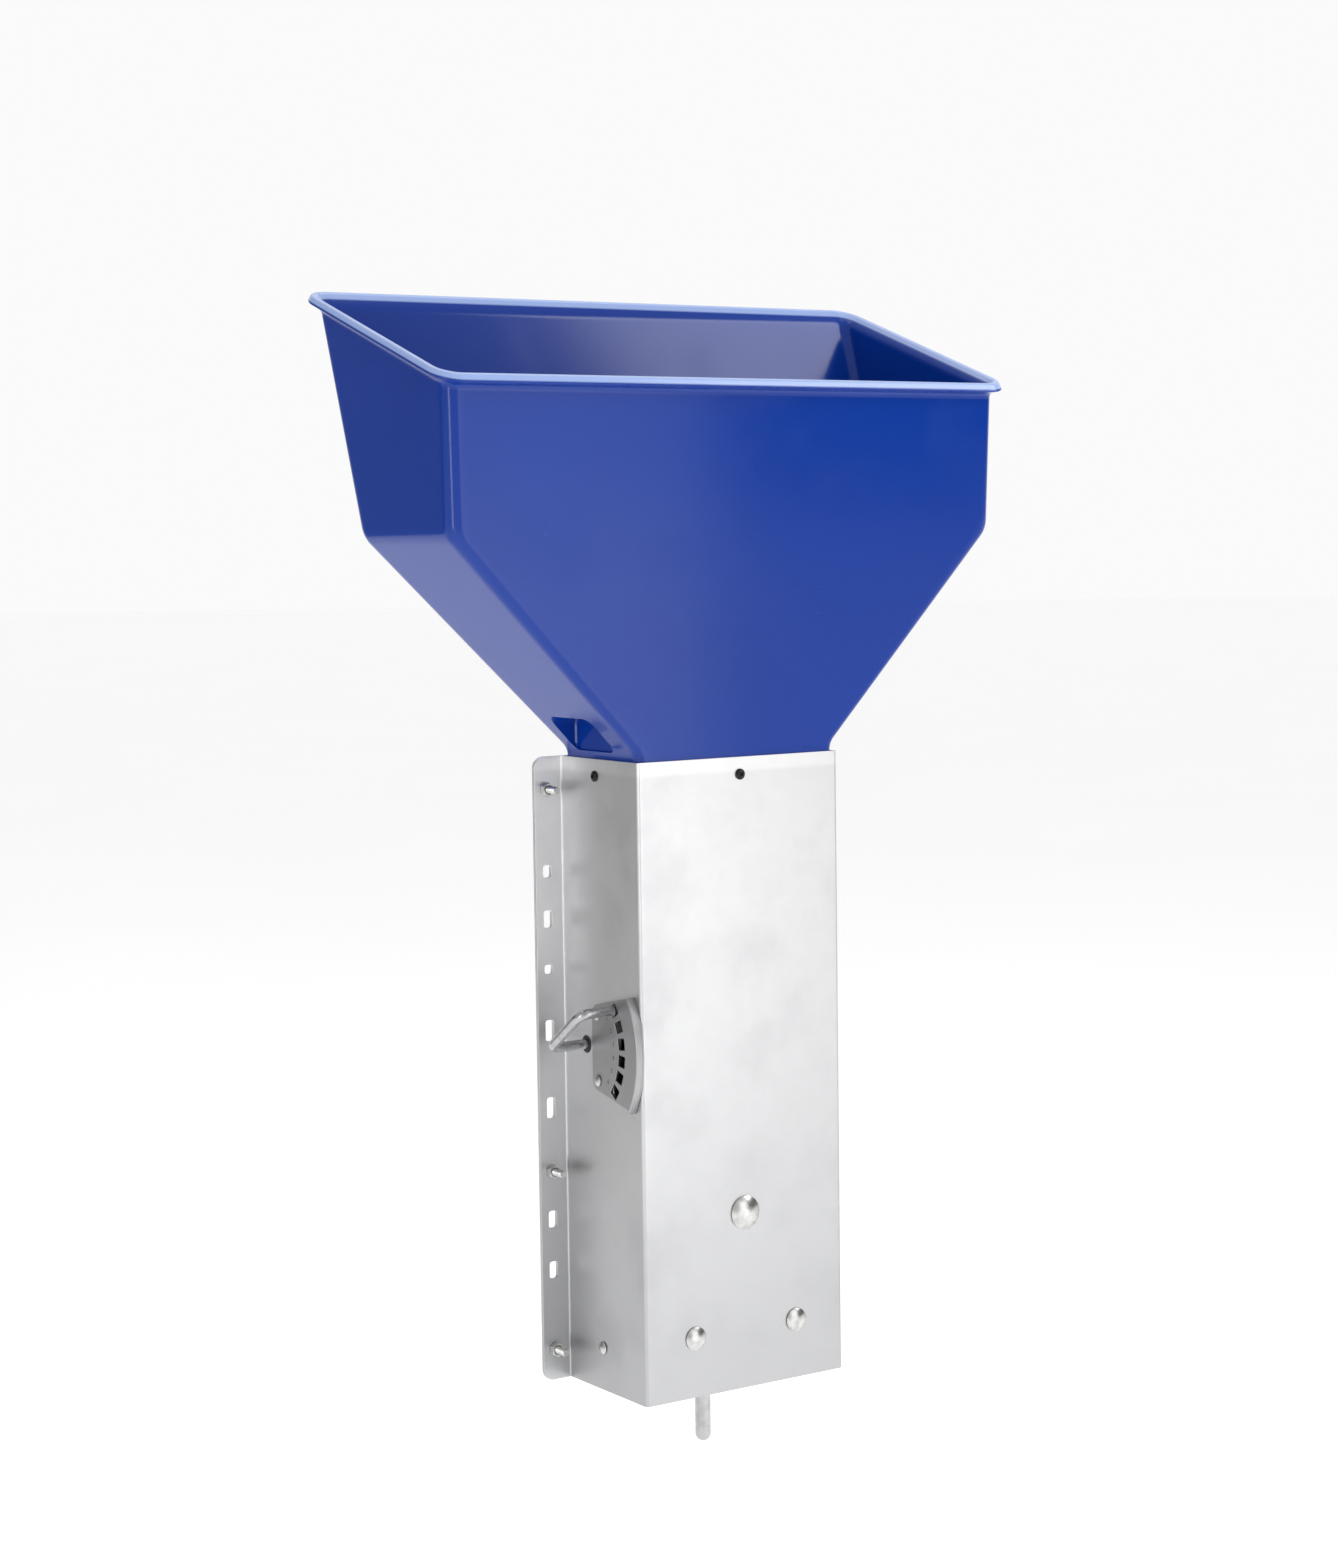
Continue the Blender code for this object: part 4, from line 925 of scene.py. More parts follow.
@dataclass
class Downpipe(Assembly):
    """The folded front shell, the back plate and the fixings through their flanges.

    Attributes:
        sheet: Sheet thickness.
        flange: Width of each flange.
        fold: Outer radius of a fold.
        corner: Radius of a flange's corner.
        slot_width: Width of the mounting slots.
        slots: Each slot's height above the lower edge and its length.
        seat_radius: Radius of the back plate's holes, which the stud heads sit in.
        stud_radius: Radius of a stud.
        stud_head: Height of a stud's flush head.
        stud_plain: How far from its rear face a stud's thread starts.
        stud_runout: Plain length at a stud's end.
        bush_radius: Radius of a shaft bush.
        clearance: Gap around a fixing in its hole.
        thread_pitch: Pitch of a stud's thread.
        thread_depth: Depth of a stud's thread.
        edge: Chamfer on a cut edge.
        bend_steps: Segments in a fold.
        bend_margin: Width of the strip that is kept flat beside a fold.
    """

    sheet: float = 0.0015
    flange: float = 0.025
    fold: float = 0.003
    corner: float = 0.009
    slot_width: float = 0.0075
    slots: tuple[tuple[float, float], ...] = (
        (0.409, 0.010), (0.371, 0.014), (0.331, 0.0075), (0.282, 0.017),
        (0.220, 0.017), (0.130, 0.014), (0.089, 0.014),
    )
    seat_radius: float = 0.0058
    stud_radius: float = 0.003
    stud_head: float = 0.0008
    stud_plain: float = 0.0035
    stud_runout: float = 0.0005
    bush_radius: float = 0.0066
    clearance: float = 0.0004
    thread_pitch: float = 0.001
    thread_depth: float = 0.00045
    edge: float = 0.00015
    bend_steps: int = 8
    bend_margin: float = 0.0005

    def flange_slots(self, x: float, bottom: float) -> list[Loop]:
        """The mounting slots of one flange.

        Args:
            x: Where their middles are across the sheet.
            bottom: Height of the sheet's lower edge.

        Returns:
            Their outlines.
        """
        loops = []
        for height, length in self.slots:
            low = (x - self.slot_width / 2, bottom + height - length / 2)
            high = (x + self.slot_width / 2, bottom + height + length / 2)
            loops.append(rounded_box(low, high, 0.3 * min(self.slot_width, length)))
        return loops

    def hole_at(self, line: FoldLine, leg: int, node: str, radius: float) -> Loop:
        """A round hole on one leg of the sheet, laid flat.

        Args:
            line: The folded sheet's middle line.
            leg: The leg that the hole is on.
            node: The fixing that goes through it.
            radius: Radius of that fixing.

        Returns:
            Its outline.
        """
        spot = middle(node)
        start, ahead = line.corners[leg], line.corners[leg + 1] - line.corners[leg]
        along = (spot.xy - start).dot(ahead.normalized())
        return circle((line.station(leg, along), spot.z), radius + self.clearance)

    def shell_holes(self, line: FoldLine, bottom: float) -> list[Loop]:
        """Every opening in the folded sheet, laid flat.

        Args:
            line: The folded sheet's middle line.
            bottom: Height of the sheet's lower edge.

        Returns:
            Their outlines.
        """
        holes: list[Loop] = []
        for leg, side in ((0, "left"), (4, "right")):
            studs = [f"flange_stud_{side}_{level}" for level in LEVELS]
            holes += [self.hole_at(line, leg, stud, self.stud_radius) for stud in studs]
            along = abs(middle(studs[0]).x - line.corners[leg].x)
            holes += self.flange_slots(line.station(leg, along), bottom)
        for leg, side in ((1, "left"), (3, "right")):
            holes.append(self.hole_at(line, leg, f"hopper_screw_{side}", SCREW_RADIUS))
            holes.append(self.hole_at(line, leg, f"ledge_side_bolt_{side}", SIDE_BOLT_RADIUS))
            holes.append(self.hole_at(line, leg, f"shaft_bush_{side}", self.bush_radius))
            holes.append(self.hole_at(line, 2, f"ledge_front_bolt_{side}", FRONT_BOLT_RADIUS))
        holes.append(self.hole_at(line, 2, "hopper_screw_front", SCREW_RADIUS))
        holes.append(self.hole_at(line, 2, "trigger_bolt", TRIGGER_BOLT_RADIUS))
        axis = middle("shaft_bush_left")
        along = abs(axis.y - line.corners[1].y)
        place = (line.station(1, along), axis.z)
        holes.append([(place[0] + x, place[1] + z) for x, z in IndexPlate.wall_slot()])
        return holes

    def make_shell(self) -> None:
        """Folds the front shell from its flat sheet."""
        low, high = corners_of("front_shell")
        half = self.sheet / 2
        wall, rear, front = high.x - self.flange, high.y - half, low.y + half
        corners = [(low.x, rear), (half - wall, rear), (half - wall, front)]
        corners += [(-x, y) for x, y in reversed(corners)]
        line = FoldLine(tuple(Vector(corner) for corner in corners), self.fold - half)
        outline = rounded_box((0.0, low.z), (line.length(), high.z), self.corner, 8)
        form = Form().plate(outline, self.shell_holes(line, low.z), self.sheet, self.edge)
        mesh, steps = form.mesh, self.bend_steps
        for start, end in line.bends():
            marks = [start + (end - start) * step / steps for step in range(steps + 1)]
            for mark in [start - self.bend_margin, *marks, end + self.bend_margin]:
                whole = [*mesh.verts, *mesh.edges, *mesh.faces]
                cut = {"plane_co": (mark, 0, 0), "plane_no": (1, 0, 0)}
                bmesh.ops.bisect_plane(mesh, geom=whole, dist=1e-8, **cut)
        for vert in form.mesh.verts:
            point, ahead = line.locate(vert.co.x)
            inward = Vector((-ahead.y, ahead.x))
            place = point - inward * vert.co.z
            vert.co = (place.x, place.y, vert.co.y)
        self.add(form.done("downpipe_shell", 40), Slot.SHEET, "front_shell")

    def make_plate(self) -> None:
        """Cuts the back plate, with seats for the stud heads."""
        low, high = corners_of("back_plate")
        centre = (low + high) / 2
        outline = rounded_box(low.xz, high.xz, self.corner, 8)
        holes = []
        for side in SIDES:
            studs = [middle(f"flange_stud_{side}_{level}") for level in LEVELS]
            holes += [circle((stud.x, stud.z), self.seat_radius) for stud in studs]
            holes += self.flange_slots(studs[0].x, low.z)
        form = Form().plate(outline, holes, high.y - low.y, self.edge)
        form.moved(Facing.FRONT.at(0, centre.y, 0))
        self.add(form.done("downpipe_back"), Slot.SHEET, "back_plate")

    def make_fixings(self) -> None:
        """Threaded studs with flush heads, and their nuts."""
        for side in SIDES:
            for level in LEVELS:
                node = f"flange_stud_{side}_{level}"
                low, high = corners_of(node)
                x, z = middle(node).x, middle(node).z
                reach, head, radius = high.y - low.y, (high.x - low.x) / 2, self.stud_radius
                pitch, depth = self.thread_pitch, self.thread_depth
                profile = [(0.0, 0.0), (head, 0.0), (head, self.stud_head), (radius, self.stud_head)]
                profile += threads(self.stud_plain, reach - self.stud_runout, radius, pitch, depth)
                profile += [(radius - depth, reach), (0.0, reach)]
                stud = Form().turned(profile, Facing.FRONT.at(x, high.y, z), 28)
                self.add(stud.done(f"stud_{side}_{level}"), Slot.PLATED, node)
                hex_nut(self, f"flange_nut_{side}_{level}", Facing.FRONT, radius)


def threads(start: float, end: float, radius: float, pitch: float, depth: float) -> Loop:
    """A profile of rings that stands for a screw thread.

    Args:
        start: Height at which it starts.
        end: Height that it stays below.
        radius: Radius of its crests.
        pitch: Height of each ring.
        depth: Depth of each groove.

    Returns:
        The profile, upward.
    """
    count = max(1, int((end - start) / pitch))
    profile = []
    for root in [start + pitch * number for number in range(count)]:
        profile += [(radius - depth, root), (radius, root + 0.45 * pitch), (radius, root + 0.55 * pitch)]
    return profile + [(radius - depth, start + pitch * count)]


def hexagon(flats: float) -> Callable[[float], float]:
    """The radius of a hexagon at an angle."""
    third = math.pi / 3
    return lambda turn: flats / 2 / math.cos((turn % third) - third / 2)


def hex_nut(owner: Assembly, node: str, facing: Facing, bolt_radius: float) -> None:
    """Replaces a nut node with a hexagon nut chamfered at both ends.

    Args:
        owner: The assembly that it belongs to.
        node: The nut's CAD node, whose box gives its size and place.
        facing: Where its outer face points.
        bolt_radius: Radius of the bolt through it.
    """
    low, high = corners_of(node)
    size = high - low
    across, height = (size.x, size.y) if facing in (Facing.FRONT, Facing.REAR) else (size.z, size.x)
    flats, centre = min(across, *(side for side in size if side > height + 1e-6)), (low + high) / 2
    edge, slope = hexagon(flats), math.tan(math.radians(30))
    rim, bore, relief = 0.485 * flats, bolt_radius + 0.0003, 0.0005

    def under(turn: float) -> float:
        """Height of the lower chamfer's edge."""
        return (edge(turn) - rim) * slope

    def over(turn: float) -> float:
        """Height of the upper chamfer's edge."""
        return height - (edge(turn) - rim) * slope

    profile = [(bore, relief), (bore + relief, 0.0), (rim, 0.0), (edge, under), (edge, over)]
    profile += [(rim, height), (bore + relief, height), (bore, height - relief)]
    foot, flat_up = Matrix.Translation((0, 0, -height / 2)), Matrix.Rotation(math.pi / 6, 4, "Z")
    nut = Form().turned(profile, facing.at(*centre) @ foot @ flat_up, 48, closed=True)
    owner.add(nut.done(f"{node}_hex", 25), Slot.PLATED, node)


def domed(radius: float, height: float, land: float = 0.0007, steps: int = 12) -> Loop:
    """The profile of a domed head.

    Args:
        radius: Its radius.
        height: Its height.
        land: Height of its upright edge.
        steps: Segments in the dome.

    Returns:
        The profile, from its crown down to its underside.
    """
    rise, edge = height - land, 0.0003
    sphere = (radius * radius + rise * rise) / (2 * rise)
    half = math.asin(radius / sphere)
    profile = [(0.0, height)]
    for step in range(1, steps + 1):
        turn = half * step / steps
        profile.append((sphere * math.sin(turn), height - sphere * (1 - math.cos(turn))))
    return profile + [(radius, edge), (radius - edge, 0.0)]


@dataclass
class WallBolts(Assembly):
    """The domed bolts, rivets and screws on the downpipe's walls, with the nuts inside.

    Attributes:
        trigger_head: Height of the large domed head.
        front_head: Height of each lower domed head.
        side_head: Height of each side bolt's head.
        rivet_head: Height of a rivet's head.
        rivet_radius: Radius of a rivet.
        plain: Length below a bolt's head that has no thread.
        runout: Length that a bolt's thread stops short of its end.
        groove: Depth of a bolt's thread, as a share of its pitch.
        tail_edge: Smallest chamfer on a bolt's end.
        screw_head: Height of a neck screw's head.
        screw_land: Height of that head's upright edge.
        screw_pitch: Pitch of a neck screw's thread.
        screw_groove: Depth of that thread.
        screw_plain: Length without thread at each end of a neck screw's shank.
        screw_point: Radius of a neck screw's end.
        socket_flats: Size of the hexagon socket in a neck screw.
        socket_depth: Depth of that socket.
        socket_mouth: Radius of its mouth's chamfer.
        crown: Radius within which the head is flat around the socket.
    """

    trigger_head: float = 0.005
    front_head: float = 0.0035
    side_head: float = 0.0025
    rivet_head: float = 0.0015
    rivet_radius: float = 0.0022
    plain: float = 0.0022
    runout: float = 0.0006
    groove: float = 0.3
    tail_edge: float = 0.0003
    screw_head: float = 0.0022
    screw_land: float = 0.0006
    screw_pitch: float = 0.0009
    screw_groove: float = 0.0004
    screw_plain: float = 0.001
    screw_point: float = 0.0008
    socket_flats: float = 0.0028
    socket_depth: float = 0.0013
    socket_mouth: float = 0.0018
    crown: float = 0.0026

    def bolt(self, node: str, facing: Facing, shank: float, head: float, pitch: float) -> None:
        """Replaces a bolt node with a domed head on a threaded shank.

        Args:
            node: The bolt's CAD node, whose box gives its place and length.
            facing: Where its head points.
            shank: Radius of its shank.
            head: Height of its head.
            pitch: Thread pitch, or 0 for a plain rivet.
        """
        low, high = corners_of(node)
        centre, size = (low + high) / 2, high - low
        axis = 1 if facing is Facing.FRONT else 0
        length, across = size[axis], size.z
        outer = facing.at(*centre) @ Matrix.Translation((0, 0, length / 2 - head))
        tail, depth = length - head, self.groove * pitch
        start = min(self.plain, tail / 2)
        profile = domed(across / 2, head) + [(shank, 0.0), (shank, -start)]
        if pitch:
            grooves = threads(start, tail - self.runout, shank, pitch, depth)
            profile += [(radius, -down) for radius, down in grooves]
        profile += [(shank - max(depth, self.tail_edge), -tail), (0.0, -tail)]
        form = Form().turned(profile, outer, 56)
        self.add(form.done(f"{node}_domed"), Slot.PLATED, node)

    def screw(self, node: str, facing: Facing) -> None:
        """Replaces a neck screw node with a button head that has a hexagon socket.

        Args:
            node: The screw's CAD node, whose box gives its place and length.
            facing: Where its head points.
        """
        low, high = corners_of(node)
        centre, size = (low + high) / 2, high - low
        length = size[1 if facing is Facing.FRONT else 0]
        head, tail, radius = self.screw_head, length - self.screw_head, size.z / 2
        socket = hexagon(self.socket_flats)
        floor, plain, shank = head - self.socket_depth, self.screw_plain, SCREW_RADIUS
        profile = [(0.0, floor - 0.0002), (socket, floor)]
        profile += [(socket, head - 0.0001), (self.socket_mouth, head)]
        profile += [(r, h) for r, h in domed(radius, head, self.screw_land) if r > self.crown]
        profile += [(shank, 0.0), (shank, -plain)]
        grooves = threads(plain, tail - plain, shank, self.screw_pitch, self.screw_groove)
        profile += [(r, -h) for r, h in grooves]
        profile += [(self.screw_point, -tail), (0.0, -tail)]
        outer = facing.at(*centre) @ Matrix.Translation((0, 0, length / 2 - head))
        form = Form().turned(profile, outer, 48)
        self.add(form.done(f"{node}_button"), Slot.SCREW, node)

    def build(self) -> None:
        """Makes every bolt, rivet and screw."""
        self.bolt("trigger_bolt", Facing.FRONT, TRIGGER_BOLT_RADIUS, self.trigger_head, 0.002)
        for side in SIDES:
            bolt = f"ledge_front_bolt_{side}"
            self.bolt(bolt, Facing.FRONT, FRONT_BOLT_RADIUS, self.front_head, 0.0014)
            hex_nut(self, f"ledge_front_nut_{side}", Facing.REAR, FRONT_BOLT_RADIUS)
        for side, facing in (("left", Facing.LEFT), ("right", Facing.RIGHT)):
            self.bolt(f"ledge_side_bolt_{side}", facing, SIDE_BOLT_RADIUS, self.side_head, 0.0008)
            hex_nut(self, f"ledge_side_nut_{side}", facing, SIDE_BOLT_RADIUS)
            self.screw(f"hopper_screw_{side}", facing)
        self.screw("hopper_screw_front", Facing.FRONT)
        for level in ("upper", "lower"):
            self.bolt(f"index_rivet_{level}", Facing.LEFT, self.rivet_radius, self.rivet_head, 0.0)
        hex_nut(self, "trigger_lock_nut", Facing.REAR, TRIGGER_BOLT_RADIUS)
        hex_nut(self, "trigger_end_nut", Facing.REAR, TRIGGER_BOLT_RADIUS)


@dataclass
class IndexPlate(Assembly):
    """The sector of index holes on the left wall, with its raised lip and stamped numbers.

    Attributes:
        radius: The plate's outer radius.
        half_angle: Degrees each side of level.
        thickness: Plate thickness.
        lip_width: Width of the raised lip.
        hole_radius: Radius of the circle that the holes are on.
        hole_size: Side of each square hole.
        pitch: Degrees between holes.
        count: How many holes there are.
        lug_radius: Radius around each rivet.
        rivet_radius: Radius of a rivet's hole.
        lip_soft: Chamfer on the lip.
        mark_size: Height of the stamped numbers.
        mark_gap: How far inside the circle of holes they are.
        mark_rise: How far they stand proud.
    """

    radius: float = 0.083
    half_angle: float = 33.0
    thickness: float = 0.002
    lip_width: float = 0.002
    hole_radius: float = 0.054
    hole_size: float = 0.0092
    pitch: float = 14.4
    count: int = 6
    lug_radius: float = 0.008
    rivet_radius: float = 0.0025
    lip_soft: float = 0.0007
    mark_size: float = 0.0052
    mark_gap: float = 0.0115
    mark_rise: float = 0.00006

    @staticmethod
    def wall_slot(radius: float = 0.054, half: float = 0.0055, end: float = 36.0) -> Loop:
        """The curved slot in the wall behind the holes, forward and up from the lever's axis.

        Args:
            radius: Radius of its middle line.
            half: Half its width.
            end: Degrees each side of level.

        Returns:
            Its outline.
        """
        outline = arc(radius + half, -end, end, 24)
        outline += arc(half, end, end + 180, 10, polar(radius, end))[1:-1]
        outline += arc(radius - half, end, -end, 24)
        return outline + arc(half, 180 - end, 360 - end, 10, polar(radius, -end))[1:-1]

    def outward(self, reach: float) -> Matrix:
        """The plate's own axes: X forward, Y up and Z out of the wall.

        Args:
            reach: How far out from the plate's rear face they stand.

        Returns:
            Their matrix.
        """
        axis, rear = middle("shaft_bush_left"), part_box("index_plate")[1][0]
        turn = Matrix(((0, 0, -1, 0), (-1, 0, 0, 0), (0, 1, 0, 0), (0, 0, 0, 1)))
        return Matrix.Translation((rear - reach, axis.y, axis.z)) @ turn

    def angles(self) -> list[float]:
        """The angle of each hole, in degrees."""
        return [(number - (self.count - 1) / 2) * self.pitch for number in range(self.count)]

    def outline(self, rivets: Sequence[tuple[float, float]]) -> Loop:
        """The plate's outline: a sector that narrows to two rounded lugs.

        Args:
            rivets: The middle of each rivet's hole.

        Returns:
            The outline.
        """
        points = arc(self.radius, -self.half_angle, self.half_angle, 64)
        for rivet in rivets:
            points += arc(self.lug_radius, 90, 270, 16, rivet)
        return [points[index] for index in geometry.convex_hull_2d(points)]

    def square(self, degrees: float) -> Loop:
        """One square hole, turned to face the lever's axis.

        Args:
            degrees: Its angle.

        Returns:
            Its outline.
        """
        half, turn = self.hole_size / 2, math.radians(degrees)
        corners = rounded_box((-half, -half), (half, half), 0.0006, 3)
        shifted = [(self.hole_radius + x, y) for x, y in corners]
        cosine, sine = math.cos(turn), math.sin(turn)
        return [(x * cosine - y * sine, x * sine + y * cosine) for x, y in shifted]

    def build(self) -> None:
        """Makes the plate with its lip, then the stamped numbers."""
        to_plate = self.outward(0.0).inverted()
        spots = [to_plate @ middle(f"index_rivet_{level}") for level in ("upper", "lower")]
        rivets = [(spot.x, spot.y) for spot in spots]
        holes = [self.square(turn) for turn in self.angles()]
        holes += [circle(rivet, self.rivet_radius, 24) for rivet in rivets]
        form = Form().plate(self.outline(rivets), holes, self.thickness, 0.0002)
        form.moved(Matrix.Translation((0, 0, self.thickness / 2)))
        low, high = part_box("index_plate")
        height, soft = high[0] - low[0], self.lip_soft
        inner, outer = self.radius - self.lip_width, self.radius
        section = [(inner, self.thickness - soft), (inner, height - soft), (inner + soft, height)]
        section += [(outer - soft, height), (outer, height - soft), (outer, self.thickness - soft)]
        turns = [math.radians(self.half_angle * (step / 32 - 1)) for step in range(65)]
        new = form.mesh.verts.new
        rings = [[new((r * math.cos(t), r * math.sin(t), h)) for r, h in section] for t in turns]
        for first, second in zip(rings, rings[1:]):
            form.bridge(first, second)
        form.mesh.faces.new(rings[0])
        form.mesh.faces.new(rings[-1])
        form.moved(self.outward(0.0))
        self.add(form.done("index_sector"), Slot.SHEET, "index_plate", finish=SECTOR)
        self.stamp()

    def stamp(self) -> None:
        """Stamps a number beside each hole."""
        numbers = bmesh.new()
        for number, degrees in enumerate(reversed(self.angles()), start=1):
            text = bpy.data.curves.new(f"index_number_{number}", "FONT")
            text.body, text.size, text.extrude = str(number), self.mark_size, self.mark_rise
            text.align_x, text.align_y = "CENTER", "CENTER"
            mesh = evaluated(stand(text.name, text), text.name)
            spot = polar(self.hole_radius - self.mark_gap, degrees)
            mesh.transform(self.outward(self.thickness) @ Matrix.Translation((*spot, 0)))
            numbers.from_mesh(mesh)
        marks = bpy.data.meshes.new("index_numbers")
        numbers.to_mesh(marks)
        numbers.free()
        piece = stand("index_numbers", marks)
        marks.materials.append(STAMPED.material())
        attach(piece, self.body_of("index_plate"))
        LOG.info("%s: %d faces, on the index plate", piece.name, len(marks.polygons))


@dataclass
class Lever(Assembly):
    """The bent round rod that sets the gate.

    Attributes:
        radius: Radius of the rod.
        bend: Bend radius of its centreline.
        chamfer: Chamfer on its ends.
        arm: Length of the arm between its two bends.
        stored_angle: Degrees above level at which the arm is stored.
        tip_gap: Gap between its tip and the index plate.
    """

    radius: float = 0.004
    bend: float = 0.008
    chamfer: float = 0.0007
    arm: float = 0.054
    stored_angle: float = 36.0
    tip_gap: float = 0.0003

    def build(self) -> None:
        """Bends the rod."""
        low, high = corners_of("adjuster_lever")
        axis = middle("shaft_bush_left")
        standoff = low.x + self.radius
        forward, rise = polar(self.arm, self.stored_angle)
        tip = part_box("index_plate")[1][0] - IndexPlate.thickness - self.tip_gap
        corners = [Vector((high.x, axis.y, axis.z)), Vector((standoff, axis.y, axis.z))]
        corners += [Vector((x, axis.y - forward, axis.z + rise)) for x in (standoff, tip)]
        path = rounded_path(corners, self.bend)
        stations = [(point, self.radius) for point in path]
        for end, step in ((0, 1), (len(path) - 1, -1)):
            inward = (path[end + step] - path[end]).normalized() * self.chamfer
            stations[end] = (path[end] + inward, self.radius)
        stations.insert(0, (path[0], self.radius - self.chamfer))
        stations.append((path[-1], self.radius - self.chamfer))
        self.add(Form().swept(stations, 36).done("lever_rod"), Slot.BAR, "adjuster_lever")


@dataclass
class Trigger(Assembly):
    """The round trigger rod with its flattened eye, and the hidden pieces around it.

    Attributes:
        radius: Radius of the rod.
        shoulder: Drop from the hanger's pin to the rod's upper end.
        shoulder_edge: Height of the taper at that end.
        eye_radius: Radius of the eye.
        eye_thickness: Thickness of the eye.
        eye_foot: Half the width of the eye's foot, and its drop from the pin.
        pin_radius: Radius of the pin's hole.
    """

    radius: float = 0.00635
    shoulder: float = 0.012
    shoulder_edge: float = 0.002
    eye_radius: float = 0.008
    eye_thickness: float = 0.007
    eye_foot: tuple[float, float] = (0.0057, 0.016)
    pin_radius: float = 0.0033

    def build(self) -> None:
        """Makes the rod, and finishes the pieces that it hangs from and carries."""
        pin = middle("hanger_pin")
        length = pin.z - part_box("trigger_rod")[0][2]
        radius, top = self.radius, -self.shoulder
        turns = [math.radians(degrees) for degrees in range(0, 91, 9)]
        profile = [(radius * math.sin(turn), radius * (1 - math.cos(turn)) - length) for turn in turns]
        profile += [(radius, top - self.shoulder_edge), (radius * 0.94, top), (0.0, top)]
        form = Form().turned(profile, Matrix.Translation(pin), 48)
        half, drop = self.eye_foot
        eye = arc(self.eye_radius, 0, 180, 24) + [(-half, -drop), (half, -drop)]
        blade = Form().plate(eye, [circle((0, 0), self.pin_radius, 32)], self.eye_thickness, 0.0005)
        blade.moved(Matrix.Translation(pin) @ ON_SIDE)
        scrap = bpy.data.meshes.new("eye")
        blade.mesh.to_mesh(scrap)
        blade.mesh.free()
        form.mesh.from_mesh(scrap)
        self.add(form.done("trigger_bar"), Slot.BAR, "trigger_rod")
        self.dress(Slot.BAR, ("trigger_hanger", "hanger_pin", "sweeper_set_screw"))
        self.dress(Slot.SHEET, ("sweeper_disc", "feed_ledge"))
        self.dress(Slot.PLATED, ("trigger_spacer",))


@dataclass
class GateWorks(Assembly):
    """The hidden gate and what turns it, which keep their CAD shapes."""

    def build(self) -> None:
        """Finishes the kept pieces."""
        self.dress(Slot.SHEET, ("metering_gate",))
        self.dress(Slot.BAR, ("lever_drive_pin", "lever_collar"))
        self.dress(Slot.BAR, ("lever_spring",), 0.00005)
        self.dress(Slot.NYLON, ("shaft_bush_left", "shaft_bush_right"))


@dataclass
class Ring:
    """A rounded rectangle around the hopper.

    Attributes:
        half: Half its width.
        front: World Y of its front.
        back: World Y of its back.
        radius: Corner radius.
        height: World Z, or a function that gives it from world Y.
    """

    half: float
    front: float
    back: float
    radius: float
    height: Measure

    def points(self, steps: int = 9, beside: float = 0.004) -> list[Vector]:
        """The ring's points.

        Args:
            steps: Segments in a corner.
            beside: How far beside each corner one more point keeps the wall flat.

        Returns:
            The points, anticlockwise.
        """
        corners = ((-1, 1, 180), (1, 1, 270), (1, -1, 0), (-1, -1, 90))
        found = []
        for across, along, start in corners:
            x = across * (self.half - self.radius)
            y = self.front + self.radius if along > 0 else self.back - self.radius
            turns = [math.radians(start + 90 * step / steps) for step in range(steps + 1)]
            curve = [(x + self.radius * math.cos(t), y + self.radius * math.sin(t)) for t in turns]
            (x, y), turn = curve[0], turns[0]
            curve.insert(0, (x + beside * math.sin(turn), y - beside * math.cos(turn)))
            (x, y), turn = curve[-1], turns[-1]
            curve.append((x - beside * math.sin(turn), y + beside * math.cos(turn)))
            found += [Vector((*place, measured(self.height, place[1]))) for place in curve]
        return found

    def grown(self, reach: float, height: Measure) -> "Ring":
        """A ring that stands outside this one by a reach, at another height."""
        radius = max(self.radius + reach, 0.002)
        return Ring(self.half + reach, self.front - reach, self.back + reach, radius, height)


